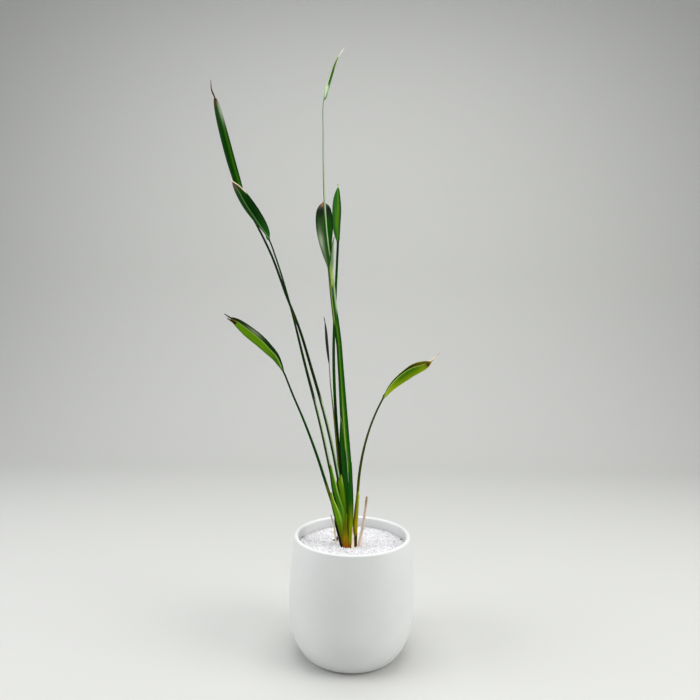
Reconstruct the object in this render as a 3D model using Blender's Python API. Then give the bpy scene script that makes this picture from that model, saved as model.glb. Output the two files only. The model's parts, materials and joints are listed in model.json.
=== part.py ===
"""A potted bird of paradise of the narrow-leaved kind, in a round white ceramic pot topped with fine gravel.

Metres, +Z up. The origin is on the pot's axis, in the plane that the pot stands on. The leaves fan out
along X, and the plant is mostly seen from -Y. Each leaf is one piece, stalk and blade together, and its
foot stands in a plain hole in the gravel and the soil."""

import math
from typing import NamedTuple

import bmesh
import bpy
import numpy as np
from mathutils import Vector
from mathutils.geometry import delaunay_2d_cdt

# Pot
POT_HEIGHT = 0.209
POT_RADIUS = 0.110  # at the belly
BELLY_HEIGHT = 0.094
SIDE_ARC = 0.810  # radius of the long curve of the side
SIDE_BOTTOM = 0.069  # height where the side rounds into the hip
HIP_ARC = 0.108  # radius of the curve below the side
HEEL_ARC = 0.0144  # radius of the curve from the hip to the flat base
WALL = 0.0075
DRAIN_HOLES = 3
DRAIN_HOLE_RADIUS = 0.005
DRAIN_RING_RADIUS = 0.040
POT_SEGMENTS = 48

# Filling
TOUCH_GAP = 0.0003  # left between two pieces that touch
WALL_GAP = 0.0005  # left between the filling and the curved wall
GRAVEL_TOP = 0.1885
GRAVEL_DEPTH = 0.022
PEBBLE_PITCH = 0.0120  # from one pebble of the relief to the next
PEBBLE_RISE = 0.0022
PEBBLE_SHIFT = 0.16  # how far a point of the relief strays, over the lattice's step
LOWEST_PEBBLE = 0.45  # rise of the lowest pebble over that of the highest
FOOT_BOTTOM = 0.150  # the stalks stand this high above the base
FOOT_TOP = 0.193  # up to here a stalk's foot is straight and upright
SOCKET_GAP = 0.0004

# Leaf section, as half thicknesses
SKIN = 0.0004
RIB = 0.0013
THREAD = 0.0008  # half width of the dry point that a blade ends in
EDGE = 0.00035  # the blunt edge of a stalk
STALK_DEPTH = 0.78  # depth of a stalk over its width
CHANNEL = 0.45  # how far the channel on top of a stalk cuts in
CHANNEL_WIDTH = 0.55  # over the stalk's width
RECURVE = 0.10  # how far a blade's edges roll back
ROUND_STATIONS = tuple(math.sin(math.radians(a)) for a in (-90, -60, -30, 0, 30, 60, 90))
BLADE_STATIONS = (-1.0, -0.62, -0.14, 0.0, 0.14, 0.62, 1.0)
STALK_RINGS = 10
STALK_SPREAD = 1.25  # over 1, the rings lie closer together near the foot
BLADE_RINGS = 11
NECK_RINGS = (0.025, 0.055)  # extra rings, at these shares of the blade's length
REMNANT_RINGS = 6
TWIST_START = 0.4  # the share of the stalk's length from which it turns towards the blade's facing
BLADE_START = 0.10  # the share of the blade's length over which the stalk flattens out
OPENING = 0.4  # power by which the fold closes up where the blade is narrow
NECK_FADE = 4  # power by which the stalk's width fades into the blade's
WAVES = 1.6  # waves along an edge


class Leaf(NamedTuple):
    """One leaf. Its route runs from the foot to the tip of the blade's dry point."""

    name: str
    foot: tuple  # x, y
    route: tuple  # the points above the foot
    neck: int  # the point of the route where the stalk becomes the blade
    stalk: tuple  # half widths at the foot, at the sheath's end and at the neck
    sheath: float  # height where the sheath ends
    blade: float  # widest half width
    powers: tuple  # of the outline at the blade's base and at its tip: less is blunter
    facing: tuple  # azimuth of the upper face at the neck and at the tip: 0 is -Y, 90 is +X
    fold: float  # degrees by which each half of the blade is raised
    dry: float  # the share of the blade's length that is its dry point
    wave: float  # how far the edges wave, over the half width
    colour: tuple


LEAVES = (
    Leaf(
        name="leaf_tall_left",
        foot=(-0.0130, -0.0090),
        route=(
            (-0.0145, -0.0092, 0.240),
            (-0.0252, -0.0094, 0.307),
            (-0.0462, -0.0080, 0.403),
            (-0.0740, -0.0040, 0.498),
            (-0.0995, 0.0000, 0.577),
            (-0.1191, 0.0042, 0.624),
            (-0.1480, 0.0100, 0.698),
            (-0.1740, 0.0145, 0.749),
            (-0.1941, 0.0185, 0.783),
            (-0.2159, 0.0245, 0.841),
            (-0.2325, 0.0310, 0.897),
            (-0.2480, 0.0390, 0.955),
            (-0.2532, 0.0420, 0.974),
            (-0.2589, 0.0445, 0.987),
            (-0.2614, 0.0480, 1.006),
        ),
        neck=8,
        stalk=(0.0030, 0.0034, 0.0016),
        sheath=0.33,
        blade=0.0108,
        powers=(0.50, 0.50),
        facing=(20, 8),
        fold=48,
        dry=0.15,
        wave=0.03,
        colour=(0.030, 0.105, 0.012),
    ),
    Leaf(
        name="leaf_left",
        foot=(-0.0117, -0.0135),
        route=(
            (-0.0180, -0.0140, 0.240),
            (-0.0352, -0.0148, 0.308),
            (-0.0574, -0.0165, 0.405),
            (-0.0856, -0.0212, 0.512),
            (-0.1099, -0.0284, 0.608),
            (-0.1332, -0.0375, 0.686),
            (-0.1438, -0.0420, 0.715),
            (-0.1676, -0.0487, 0.751),
            (-0.1826, -0.0535, 0.774),
            (-0.1949, -0.0565, 0.796),
            (-0.2056, -0.0600, 0.813),
        ),
        neck=6,
        stalk=(0.0030, 0.0034, 0.0015),
        sheath=0.335,
        blade=0.0150,
        powers=(0.68, 0.80),
        facing=(72, 20),
        fold=38,
        dry=0.05,
        wave=0.04,
        colour=(0.022, 0.120, 0.014),
    ),
    Leaf(
        name="leaf_tallest",
        foot=(-0.0040, -0.0135),
        route=(
            (-0.0036, -0.0136, 0.250),
            (-0.0047, -0.0138, 0.308),
            (-0.0122, -0.0146, 0.395),
            (-0.0222, -0.0162, 0.505),
            (-0.0255, -0.0166, 0.543),
            (-0.0353, -0.0152, 0.616),
            (-0.0397, -0.0150, 0.655),
            (-0.0426, -0.0150, 0.679),
            (-0.0471, -0.0155, 0.703),
            (-0.0503, -0.0160, 0.726),
            (-0.0547, -0.0190, 0.784),
            (-0.0577, -0.0280, 0.900),
            (-0.0578, -0.0330, 0.943),
            (-0.0545, -0.0350, 0.964),
            (-0.0487, -0.0366, 0.985),
            (-0.0409, -0.0380, 1.004),
            (-0.0326, -0.0392, 1.017),
            (-0.0246, -0.0400, 1.029),
        ),
        neck=12,
        stalk=(0.0030, 0.0044, 0.0014),
        sheath=0.40,
        blade=0.0125,
        powers=(0.60, 0.90),
        facing=(85, 90),
        fold=20,
        dry=0.12,
        wave=0.03,
        colour=(0.035, 0.130, 0.018),
    ),
    Leaf(
        name="leaf_oval",
        foot=(-0.0060, -0.0070),
        route=(
            (-0.0075, -0.0070, 0.240),
            (-0.0119, -0.0071, 0.308),
            (-0.0194, -0.0075, 0.396),
            (-0.0266, -0.0090, 0.505),
            (-0.0297, -0.0098, 0.543),
            (-0.0363, -0.0106, 0.586),
            (-0.0416, -0.0112, 0.627),
            (-0.0460, -0.0116, 0.668),
            (-0.0508, -0.0118, 0.704),
            (-0.0528, -0.0120, 0.726),
            (-0.0546, -0.0116, 0.752),
            (-0.0566, -0.0070, 0.774),
            (-0.0589, 0.0040, 0.789),
        ),
        neck=7,
        stalk=(0.0030, 0.0044, 0.0020),
        sheath=0.40,
        blade=0.0155,
        powers=(1.25, 0.62),
        facing=(0, 0),
        fold=14,
        dry=0.03,
        wave=0.05,
        colour=(0.012, 0.050, 0.016),
    ),
    Leaf(
        name="leaf_upright",
        foot=(-0.0068, -0.0015),
        route=(
            (-0.0108, 0.0002, 0.234),
            (-0.0154, 0.0010, 0.270),
            (-0.0215, 0.0014, 0.320),
            (-0.0293, 0.0020, 0.393),
            (-0.0345, 0.0026, 0.463),
            (-0.0370, 0.0036, 0.542),
            (-0.0358, 0.0060, 0.602),
            (-0.0332, 0.0110, 0.686),
            (-0.0322, 0.0140, 0.719),
            (-0.0330, 0.0190, 0.768),
            (-0.0340, 0.0240, 0.795),
            (-0.0336, 0.0300, 0.824),
        ),
        neck=8,
        stalk=(0.0030, 0.0027, 0.0025),
        sheath=0.315,
        blade=0.0147,
        powers=(0.70, 0.75),
        facing=(-60, -50),
        fold=18,
        dry=0.05,
        wave=0.04,
        colour=(0.060, 0.180, 0.020),
    ),
    Leaf(
        name="leaf_young",
        foot=(-0.0134, -0.0037),
        route=(
            (-0.0150, -0.0038, 0.240),
            (-0.0190, -0.0038, 0.272),
            (-0.0245, -0.0036, 0.320),
            (-0.0323, -0.0044, 0.394),
            (-0.0368, -0.0062, 0.436),
            (-0.0416, -0.0080, 0.477),
            (-0.0438, -0.0098, 0.506),
            (-0.0466, -0.0132, 0.546),
            (-0.0488, -0.0158, 0.568),
            (-0.0538, -0.0200, 0.591),
        ),
        neck=6,
        stalk=(0.0028, 0.0020, 0.0011),
        sheath=0.30,
        blade=0.0075,
        powers=(0.55, 0.80),
        facing=(-75, -85),
        fold=28,
        dry=0.10,
        wave=0.0,
        colour=(0.018, 0.070, 0.014),
    ),
    Leaf(
        name="leaf_low_left",
        foot=(-0.0183, -0.0135),
        route=(
            (-0.0252, -0.0143, 0.234),
            (-0.0437, -0.0165, 0.293),
            (-0.0621, -0.0197, 0.350),
            (-0.0880, -0.0274, 0.420),
            (-0.1038, -0.0336, 0.458),
            (-0.1197, -0.0415, 0.499),
            (-0.1312, -0.0470, 0.523),
            (-0.1439, -0.0540, 0.538),
            (-0.1559, -0.0600, 0.551),
            (-0.1728, -0.0680, 0.566),
            (-0.1888, -0.0750, 0.579),
            (-0.2102, -0.0850, 0.594),
        ),
        neck=5,
        stalk=(0.0030, 0.0030, 0.0016),
        sheath=0.30,
        blade=0.0112,
        powers=(0.70, 0.55),
        facing=(-32, -20),
        fold=20,
        dry=0.09,
        wave=0.06,
        colour=(0.060, 0.160, 0.018),
    ),
    Leaf(
        name="leaf_right",
        foot=(0.0058, -0.0090),
        route=(
            (0.0079, -0.0044, 0.265),
            (0.0106, 0.0004, 0.312),
            (0.0195, 0.0071, 0.364),
            (0.0316, 0.0130, 0.404),
            (0.0501, 0.0195, 0.445),
            (0.0660, 0.0242, 0.471),
            (0.0960, 0.0289, 0.497),
            (0.1382, 0.0322, 0.515),
            (0.1531, 0.0350, 0.531),
        ),
        neck=4,
        stalk=(0.0029, 0.0025, 0.0016),
        sheath=0.30,
        blade=0.0145,
        powers=(0.80, 0.62),
        facing=(50, 42),
        fold=28,
        dry=0.17,
        wave=0.04,
        colour=(0.130, 0.200, 0.022),
    ),
)


class Remnant(NamedTuple):
    """What is left of an old leaf: a short stalk or sheath with no blade."""

    name: str
    foot: tuple  # x, y
    route: tuple
    half_widths: tuple  # at the foot and at the top
    depth: float  # depth over width
    colour: tuple


REMNANTS = (
    Remnant(
        name="dry_stalk_stub",
        foot=(0.0127, -0.0080),
        route=((0.0178, -0.0068, 0.221), (0.0220, -0.0039, 0.251), (0.0247, 0.0000, 0.276)),
        half_widths=(0.0026, 0.0017),
        depth=0.75,
        colour=(0.52, 0.36, 0.20),
    ),
    Remnant(
        name="dry_sheath_left",
        foot=(-0.0293, 0.0100),
        route=((-0.0329, 0.0100, 0.219), (-0.0383, 0.0101, 0.239)),
        half_widths=(0.0018, 0.0009),
        depth=0.45,
        colour=(0.60, 0.48, 0.32),
    ),
    Remnant(
        name="dry_sheath_middle",
        foot=(0.0011, -0.0178),
        route=((0.0011, -0.0178, 0.208), (0.0003, -0.0180, 0.224)),
        half_widths=(0.0025, 0.0009),
        depth=0.45,
        colour=(0.62, 0.42, 0.26),
    ),
)


def clear_scene():
    for old in list(bpy.data.objects):
        bpy.data.objects.remove(old, do_unlink=True)


def material(name, colour, roughness):
    made = bpy.data.materials.new(name)
    made.use_nodes = True
    shader = made.node_tree.nodes["Principled BSDF"]
    shader.inputs["Base Color"].default_value = (*colour, 1.0)
    shader.inputs["Roughness"].default_value = roughness
    shader.inputs["Metallic"].default_value = 0.0
    made.diffuse_color = (*colour, 1.0)
    return made


def add_object(name, vertices, faces, finish, smooth_below=50):
    mesh = bpy.data.meshes.new(name)
    mesh.from_pydata([tuple(map(float, v)) for v in vertices], [], faces)
    mesh.materials.append(finish)
    mesh.shade_smooth()
    mesh.set_sharp_from_angle(angle=math.radians(smooth_below))
    made = bpy.data.objects.new(name, mesh)
    bpy.context.scene.collection.objects.link(made)
    return made


def cut(target, cutter):
    """Cuts an object, or a collection of objects, out of the target."""
    modifier = target.modifiers.new("cut", "BOOLEAN")
    modifier.operation = "DIFFERENCE"
    modifier.solver = "EXACT"
    if isinstance(cutter, bpy.types.Collection):
        modifier.operand_type = "COLLECTION"
        modifier.collection = cutter
    else:
        modifier.object = cutter


def make_guide(guide):
    guide.hide_render = True
    guide.display_type = "WIRE"


# Pot and filling

# The outline is three arcs, each running smoothly into the next. Their centres are (radius, height).
SIDE_CENTRE = (POT_RADIUS - SIDE_ARC, BELLY_HEIGHT)
HIP_END = -math.asin((BELLY_HEIGHT - SIDE_BOTTOM) / SIDE_ARC)
HIP_CENTRE = (
    SIDE_CENTRE[0] + (SIDE_ARC - HIP_ARC) * math.cos(HIP_END),
    SIDE_CENTRE[1] + (SIDE_ARC - HIP_ARC) * math.sin(HIP_END),
)
HEEL_END = -math.asin((HIP_CENTRE[1] - HEEL_ARC) / (HIP_ARC - HEEL_ARC))
HEEL_CENTRE = (HIP_CENTRE[0] + (HIP_ARC - HEEL_ARC) * math.cos(HEEL_END), HEEL_ARC)


def pot_outline(inset, top, heel_steps, hip_steps, side_steps):
    """(radius, height) up the pot's outside moved inwards by inset, from its flat base to the height top."""
    side_end = math.asin((top - BELLY_HEIGHT) / (SIDE_ARC - inset))
    arcs = (
        (HEEL_CENTRE, HEEL_ARC, -math.pi / 2, HEEL_END, heel_steps),
        (HIP_CENTRE, HIP_ARC, HEEL_END, HIP_END, hip_steps),
        (SIDE_CENTRE, SIDE_ARC, HIP_END, side_end, side_steps),
    )
    points = []
    for centre, arc, start, end, steps in arcs:
        first = 1 if points else 0
        for angle in np.linspace(start, end, steps + 1)[first:]:
            reach = arc - inset
            points.append((centre[0] + reach * math.cos(angle), centre[1] + reach * math.sin(angle)))
    return points


def filling_radius(height):
    """Radius of the filling at a height above the hip, just clear of the wall."""
    arc = SIDE_ARC - WALL - WALL_GAP
    return SIDE_CENTRE[0] + math.sqrt(arc**2 - (height - BELLY_HEIGHT) ** 2)


def ring_of(radius, height, count):
    turns = (2 * math.pi * i / count for i in range(count))
    return [(radius * math.cos(turn), radius * math.sin(turn), height) for turn in turns]


def turned(name, outline, finish, segments=POT_SEGMENTS):
    """Turns a closed (radius, height) outline about Z. It starts and ends on flat discs about the axis."""
    vertices = []
    for radius, height in outline:
        vertices += ring_of(radius, height, segments)
    faces = []
    for row in range(len(outline) - 1):
        for i in range(segments):
            j = (i + 1) % segments
            low = row * segments
            high = low + segments
            faces.append((low + i, low + j, high + j, high + i))
    faces.append(tuple(reversed(range(segments))))
    last = (len(outline) - 1) * segments
    faces.append(tuple(range(last, last + segments)))
    return add_object(name, vertices, faces, finish)


def make_pot():
    outside = pot_outline(0, POT_HEIGHT - WALL / 2, heel_steps=3, hip_steps=4, side_steps=6)
    inside = pot_outline(WALL, POT_HEIGHT - WALL / 2, heel_steps=2, hip_steps=3, side_steps=5)
    lip_radius = (outside[-1][0] + inside[-1][0]) / 2
    lip_half = (outside[-1][0] - inside[-1][0]) / 2
    lip = [
        (lip_radius + lip_half * math.cos(angle), POT_HEIGHT - WALL / 2 + WALL / 2 * math.sin(angle))
        for angle in np.linspace(0, math.pi, 6)[1:-1]
    ]
    finish = material("white_ceramic", (0.80, 0.79, 0.77), 0.55)
    pot = turned("pot", outside + lip + inside[::-1], finish)
    cut(pot, make_drain_cutter())
    return pot


def make_drain_cutter():
    drill = bmesh.new()
    for i in range(DRAIN_HOLES):
        turn = 2 * math.pi * i / DRAIN_HOLES + math.pi / 2
        made = bmesh.ops.create_cone(
            drill,
            cap_ends=True,
            segments=16,
            radius1=DRAIN_HOLE_RADIUS,
            radius2=DRAIN_HOLE_RADIUS,
            depth=4 * WALL,
        )
        place = Vector((math.cos(turn), math.sin(turn), 0)) * DRAIN_RING_RADIUS
        bmesh.ops.translate(drill, verts=made["verts"], vec=place)
    mesh = bpy.data.meshes.new("drain_cutter")
    drill.to_mesh(mesh)
    drill.free()
    cutter = bpy.data.objects.new("drain_cutter", mesh)
    bpy.context.scene.collection.objects.link(cutter)
    make_guide(cutter)
    return cutter


def make_soil(sockets):
    top = GRAVEL_TOP - GRAVEL_DEPTH - TOUCH_GAP
    outline = pot_outline(WALL + WALL_GAP, top, heel_steps=2, hip_steps=3, side_steps=3)
    finish = material("potting_soil", (0.035, 0.022, 0.014), 0.95)
    soil = turned("potting_soil", outline, finish)
    cut(soil, sockets)


def pebble_lattice(radius):
    """(x, y, height) of the gravel's relief: a triangular lattice with every third point a pebble."""
    rng = np.random.default_rng(7)
    step = PEBBLE_PITCH / math.sqrt(3)
    count = int(radius / step) + 2
    points = []
    for row in range(-count, count + 1):
        for column in range(-2 * count, 2 * count + 1):
            shift = rng.uniform(-PEBBLE_SHIFT, PEBBLE_SHIFT, 2) * step
            rise = rng.uniform(LOWEST_PEBBLE, 1.0)
            x = (column + row / 2) * step + shift[0]
            y = row * step * math.sqrt(3) / 2 + shift[1]
            if math.hypot(x, y) > radius - 0.6 * step:
                continue
            raised = (column - row) % 3 == 0
            height = GRAVEL_TOP + PEBBLE_RISE * (rise if raised else rise - 1)
            points.append((x, y, height))
    return points


def make_gravel(sockets):
    """A bed of fine gravel whose top is a relief of pebbles, larger than the real grains."""
    rim_height = GRAVEL_TOP - PEBBLE_RISE / 2
    bottom_height = GRAVEL_TOP - GRAVEL_DEPTH
    rim = ring_of(filling_radius(rim_height), rim_height, POT_SEGMENTS)
    surface = rim + pebble_lattice(filling_radius(rim_height))
    flat = [Vector(point[:2]) for point in surface]
    edges = [(i, (i + 1) % POT_SEGMENTS) for i in range(POT_SEGMENTS)]
    _, _, triangles, *_ = delaunay_2d_cdt(flat, edges, [], 1, 1e-7)
    bottom = ring_of(filling_radius(bottom_height), bottom_height, POT_SEGMENTS)
    vertices = surface + bottom
    base = len(surface)
    faces = [tuple(triangle) for triangle in triangles]
    for i in range(POT_SEGMENTS):
        j = (i + 1) % POT_SEGMENTS
        faces.append((base + i, base + j, j, i))
    faces.append(tuple(reversed(range(base, base + POT_SEGMENTS))))
    finish = material("white_gravel", (0.78, 0.76, 0.72), 0.85)
    gravel = add_object("gravel_top_dressing", vertices, faces, finish, smooth_below=15)
    cut(gravel, sockets)


# Leaves


class Curve:
    """A smooth curve through points, measured by its length along their chords."""

    def __init__(self, points):
        self.points = np.array(points, float)
        steps = np.linalg.norm(np.diff(self.points, axis=0), axis=1)
        self.knots = np.concatenate([[0.0], np.cumsum(steps)])
        chords = np.diff(self.points, axis=0) / steps[:, None]
        before, after = steps[:-1, None], steps[1:, None]
        inner = (chords[:-1] * after + chords[1:] * before) / (before + after)
        self.slopes = np.vstack([chords[:1], inner, chords[-1:]])

    def at(self, distance):
        span = int(np.clip(np.searchsorted(self.knots, distance, "right") - 1, 0, len(self.knots) - 2))
        length = self.knots[span + 1] - self.knots[span]
        t = (distance - self.knots[span]) / length
        start, end = self.points[span : span + 2]
        leave, arrive = self.slopes[span : span + 2] * length
        return (
            start * (1 + 2 * t) * (1 - t) ** 2
            + leave * t * (1 - t) ** 2
            + end * t**2 * (3 - 2 * t)
            + arrive * t**2 * (t - 1)
        )

    def direction(self, distance):
        reach = 0.001
        low = max(distance - reach, 0.0)
        high = min(distance + reach, self.knots[-1])
        ahead = self.at(high) - self.at(low)
        return ahead / np.linalg.norm(ahead)


def smooth_step(value):
    t = min(max(value, 0.0), 1.0)
    return t * t * (3 - 2 * t)


def frame_at(curve, distance, azimuth):
    """The width axis and the normal of a section whose upper face looks towards an azimuth in degrees."""
    ahead = curve.direction(distance)
    turn = math.radians(azimuth)
    face = np.array([math.sin(turn), -math.cos(turn), 0.0])
    normal = face - ahead * face.dot(ahead)
    normal /= np.linalg.norm(normal)
    return np.cross(ahead, normal), normal


def stalk_section(half_width, depth):
    """Top and bottom (across, up) points of a stalk: round below, with a channel on top."""
    top, bottom = [], []
    for station in ROUND_STATIONS:
        half_depth = max(half_width * depth * math.sqrt(1 - min(station**2, 1.0)), EDGE)
        channel = CHANNEL * half_depth * max(0.0, 1 - abs(station) / CHANNEL_WIDTH)
        top.append((station * half_width, half_depth - channel))
        bottom.append((station * half_width, -half_depth))
    return np.array(top), np.array(bottom)


def blade_section(half_width, fold, rib, wave):
    """Top and bottom (across, up) points of a thin folded blade with a rib below its middle."""
    top, bottom = [], []
    for station in BLADE_STATIONS:
        side = math.copysign(1.0, station) if station else 0.0
        out = abs(station) * half_width
        lift = (wave - RECURVE) * half_width * station**2
        across = side * out * math.cos(fold)
        up = out * math.sin(fold) + lift
        normal = (-side * math.sin(fold), math.cos(fold)) if side else (0.0, 1.0)
        below = rib if not side else SKIN
        top.append((across + normal[0] * SKIN, up + normal[1] * SKIN))
        bottom.append((across - normal[0] * below, up - normal[1] * below))
    return np.array(top), np.array(bottom)


def place(curve, distance, azimuth, section):
    """The points of a section in space, its top from left to right and then its bottom."""
    centre = curve.at(distance)
    across, normal = frame_at(curve, distance, azimuth)
    points = np.vstack(section)
    return centre + points[:, :1] * across + points[:, 1:] * normal


def loft(name, rings, finish):
    """A closed piece through rings of equal count, its faces split alike on top and below."""
    half = len(rings[0]) // 2
    size = 2 * half
    faces = []

    def quad(a, b, c, d):
        faces.append((a, b, c))
        faces.append((a, c, d))

    for i in range(len(rings) - 1):
        low, high = i * size, (i + 1) * size
        for k in range(half - 1):
            quad(low + k, low + k + 1, high + k + 1, high + k)
            under, over = low + half, high + half
            faces.append((under + k, over + k + 1, under + k + 1))
            faces.append((under + k, over + k, over + k + 1))
        right = half - 1
        quad(low + right, low + right + half, high + right + half, high + right)
        quad(low, high, high + half, low + half)
    last = (len(rings) - 1) * size
    for k in range(half - 1):
        quad(k, half + k, half + k + 1, k + 1)
        quad(last + k, last + k + 1, last + half + k + 1, last + half + k)
    return add_object(name, np.vstack(rings), faces, finish)


def leaf_curve(leaf):
    x, y = leaf.foot
    return Curve(((x, y, FOOT_BOTTOM), (x, y, FOOT_TOP)) + leaf.route)


def stalk_half_width(leaf, height, share):
    """Half width of the stalk: a wide sheath low down, then an even taper to the neck."""
    foot, sheath_end, neck = leaf.stalk
    low = smooth_step((height - FOOT_TOP) / (leaf.sheath - FOOT_TOP))
    return (foot + (sheath_end - foot) * low) * (1 - share) + neck * share


def blade_outline(leaf, share):
    """Half width of the blade at a share of its length from the neck."""
    base, tip = leaf.powers
    widest = base / (base + tip)
    body = min(share / (1 - leaf.dry), 1.0)
    shape = (body / widest) ** base * ((1 - body) / (1 - widest)) ** tip
    return math.hypot(leaf.blade * shape, THREAD + (leaf.stalk[2] - THREAD) * (1 - share) ** NECK_FADE)


def leaf_ring(leaf, curve, neck_at, distance):
    """The ring of one leaf at a distance along it."""
    end = curve.knots[-1]
    low_turn = TWIST_START * neck_at
    if distance <= neck_at:
        azimuth = leaf.facing[0] * smooth_step((distance - low_turn) / (neck_at - low_turn))
        share = max(0.0, distance - curve.knots[1]) / (neck_at - curve.knots[1])
        half_width = stalk_half_width(leaf, curve.at(distance)[2], share)
        return place(curve, distance, azimuth, stalk_section(half_width, STALK_DEPTH))
    share = (distance - neck_at) / (end - neck_at)
    azimuth = leaf.facing[0] + (leaf.facing[1] - leaf.facing[0]) * share
    half_width = blade_outline(leaf, share)
    flatness = smooth_step(share / BLADE_START)
    openness = (half_width / leaf.blade) ** OPENING
    fold = math.radians(leaf.fold) * openness * flatness
    rib = SKIN + (RIB - SKIN) * (1 - share) * flatness
    wave = leaf.wave * math.sin(2 * math.pi * WAVES * share + leaf.fold)
    round_part = stalk_section(half_width, STALK_DEPTH * min(1.0, leaf.stalk[2] / half_width))
    blade_part = blade_section(half_width, fold, rib, wave)
    mixed = [r * (1 - flatness) + b * flatness for r, b in zip(round_part, blade_part)]
    return place(curve, distance, azimuth, mixed)


def make_leaf(leaf):
    curve = leaf_curve(leaf)
    neck_at = curve.knots[leaf.neck + 2]
    straight = curve.knots[1]
    stalk_steps = np.linspace(0, 1, STALK_RINGS) ** STALK_SPREAD
    blade_steps = np.linspace(0, 1, BLADE_RINGS)[1:]
    distances = [0.0]
    distances += list(straight + (neck_at - straight) * stalk_steps)
    distances += [neck_at + (curve.knots[-1] - neck_at) * share for share in NECK_RINGS]
    distances += list(neck_at + (curve.knots[-1] - neck_at) * blade_steps)
    rings = [leaf_ring(leaf, curve, neck_at, distance) for distance in distances]
    rings[0] = rings[0].copy()
    upright_foot(rings, leaf.foot)
    loft(leaf.name, rings, material(leaf.name, leaf.colour, 0.42))
    return rings[0]


def upright_foot(rings, foot):
    """Makes the foot a straight prism, so that it stands in its hole with an even gap."""
    section = rings[1] - np.array([foot[0], foot[1], 0.0])
    for ring, height in zip(rings[:2], (FOOT_BOTTOM, FOOT_TOP)):
        ring[:] = section + np.array([foot[0], foot[1], 0.0])
        ring[:, 2] = height


def make_remnant(remnant):
    x, y = remnant.foot
    curve = Curve(((x, y, FOOT_BOTTOM), (x, y, FOOT_TOP)) + remnant.route)
    straight, end = curve.knots[1], curve.knots[-1]
    low, high = remnant.half_widths
    rings = []
    for distance in [0.0, *np.linspace(straight, end, REMNANT_RINGS)]:
        share = max(0.0, distance - straight) / (end - straight)
        section = stalk_section(low + (high - low) * share, remnant.depth)
        rings.append(place(curve, distance, 0.0, section))
    upright_foot(rings, remnant.foot)
    loft(remnant.name, rings, material(remnant.name, remnant.colour, 0.8))
    return rings[0]


def make_socket(name, feet, sockets):
    """A plain hole for the stalks whose feet are given: their common hull, grown by a small gap."""
    hull = bmesh.new()
    for foot in feet:
        centre = foot.mean(axis=0)
        for point in foot:
            outward = point - centre
            grown = point + outward / np.linalg.norm(outward) * SOCKET_GAP
            for height in (FOOT_BOTTOM - TOUCH_GAP, FOOT_TOP + TOUCH_GAP):
                hull.verts.new((grown[0], grown[1], height))
    made = bmesh.ops.convex_hull(hull, input=hull.verts)
    inner = {v for v in made["geom_interior"] if isinstance(v, bmesh.types.BMVert)}
    bmesh.ops.delete(hull, geom=list(inner), context="VERTS")
    bmesh.ops.recalc_face_normals(hull, faces=hull.faces)
    mesh = bpy.data.meshes.new(name)
    hull.to_mesh(mesh)
    hull.free()
    socket = bpy.data.objects.new(name, mesh)
    sockets.objects.link(socket)
    make_guide(socket)


def main():
    clear_scene()
    sockets = bpy.data.collections.new("stalk_sockets")
    bpy.context.scene.collection.children.link(sockets)
    feet = {leaf.name: make_leaf(leaf) for leaf in LEAVES}
    feet.update({remnant.name: make_remnant(remnant) for remnant in REMNANTS})
    apart = ("leaf_right", "dry_stalk_stub", "dry_sheath_left", "dry_sheath_middle")
    for name in apart:
        make_socket("socket_" + name, [feet.pop(name)], sockets)
    make_socket("socket_clump", feet.values(), sockets)
    make_pot()
    make_soil(sockets)
    make_gravel(sockets)


main()
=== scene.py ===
"""The looks of a potted bird of paradise of the narrow-leaved kind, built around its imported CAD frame.

Metres, +Z up. The origin is on the pot's axis, in the plane that the pot stands on. Every leaf is made again
along the route that it has in the CAD model, with finer sections, veins, dry tips and its own colours. The
flattened bases of the leaves overlap in a fan. The pot and the gravel are made again finer too, and the soil
keeps its CAD shape."""

import json
import math
from typing import NamedTuple

import bmesh
import bpy
import numpy as np
from mathutils import Matrix, Quaternion, Vector, noise

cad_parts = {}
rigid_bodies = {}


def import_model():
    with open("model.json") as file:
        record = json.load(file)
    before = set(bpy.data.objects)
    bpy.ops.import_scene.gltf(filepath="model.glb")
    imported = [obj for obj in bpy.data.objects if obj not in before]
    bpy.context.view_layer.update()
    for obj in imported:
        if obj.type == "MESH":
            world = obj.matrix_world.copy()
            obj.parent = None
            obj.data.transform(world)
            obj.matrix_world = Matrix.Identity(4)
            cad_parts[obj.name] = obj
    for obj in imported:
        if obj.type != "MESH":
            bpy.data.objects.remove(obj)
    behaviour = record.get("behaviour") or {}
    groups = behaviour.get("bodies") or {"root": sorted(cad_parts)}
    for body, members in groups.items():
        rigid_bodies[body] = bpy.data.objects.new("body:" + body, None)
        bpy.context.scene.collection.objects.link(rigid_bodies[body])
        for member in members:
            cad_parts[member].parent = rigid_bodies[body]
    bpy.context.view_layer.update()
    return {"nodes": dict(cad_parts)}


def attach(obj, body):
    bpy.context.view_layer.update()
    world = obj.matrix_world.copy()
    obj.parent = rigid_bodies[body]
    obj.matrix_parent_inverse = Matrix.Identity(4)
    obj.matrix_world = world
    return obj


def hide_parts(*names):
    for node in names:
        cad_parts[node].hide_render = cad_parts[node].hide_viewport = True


for old in list(bpy.data.objects):
    bpy.data.objects.remove(old, do_unlink=True)
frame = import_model()

# Camera, worked out from the photograph
IMAGE_SIZE = 700
FOCAL_PIXELS = 634.6
SENSOR = 36.0
CAMERA_PLACE = (-0.0085, -1.1, 0.599)
CAMERA_PITCH = 3.39  # degrees downwards
CAMERA_ROLL = 0.8

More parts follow.
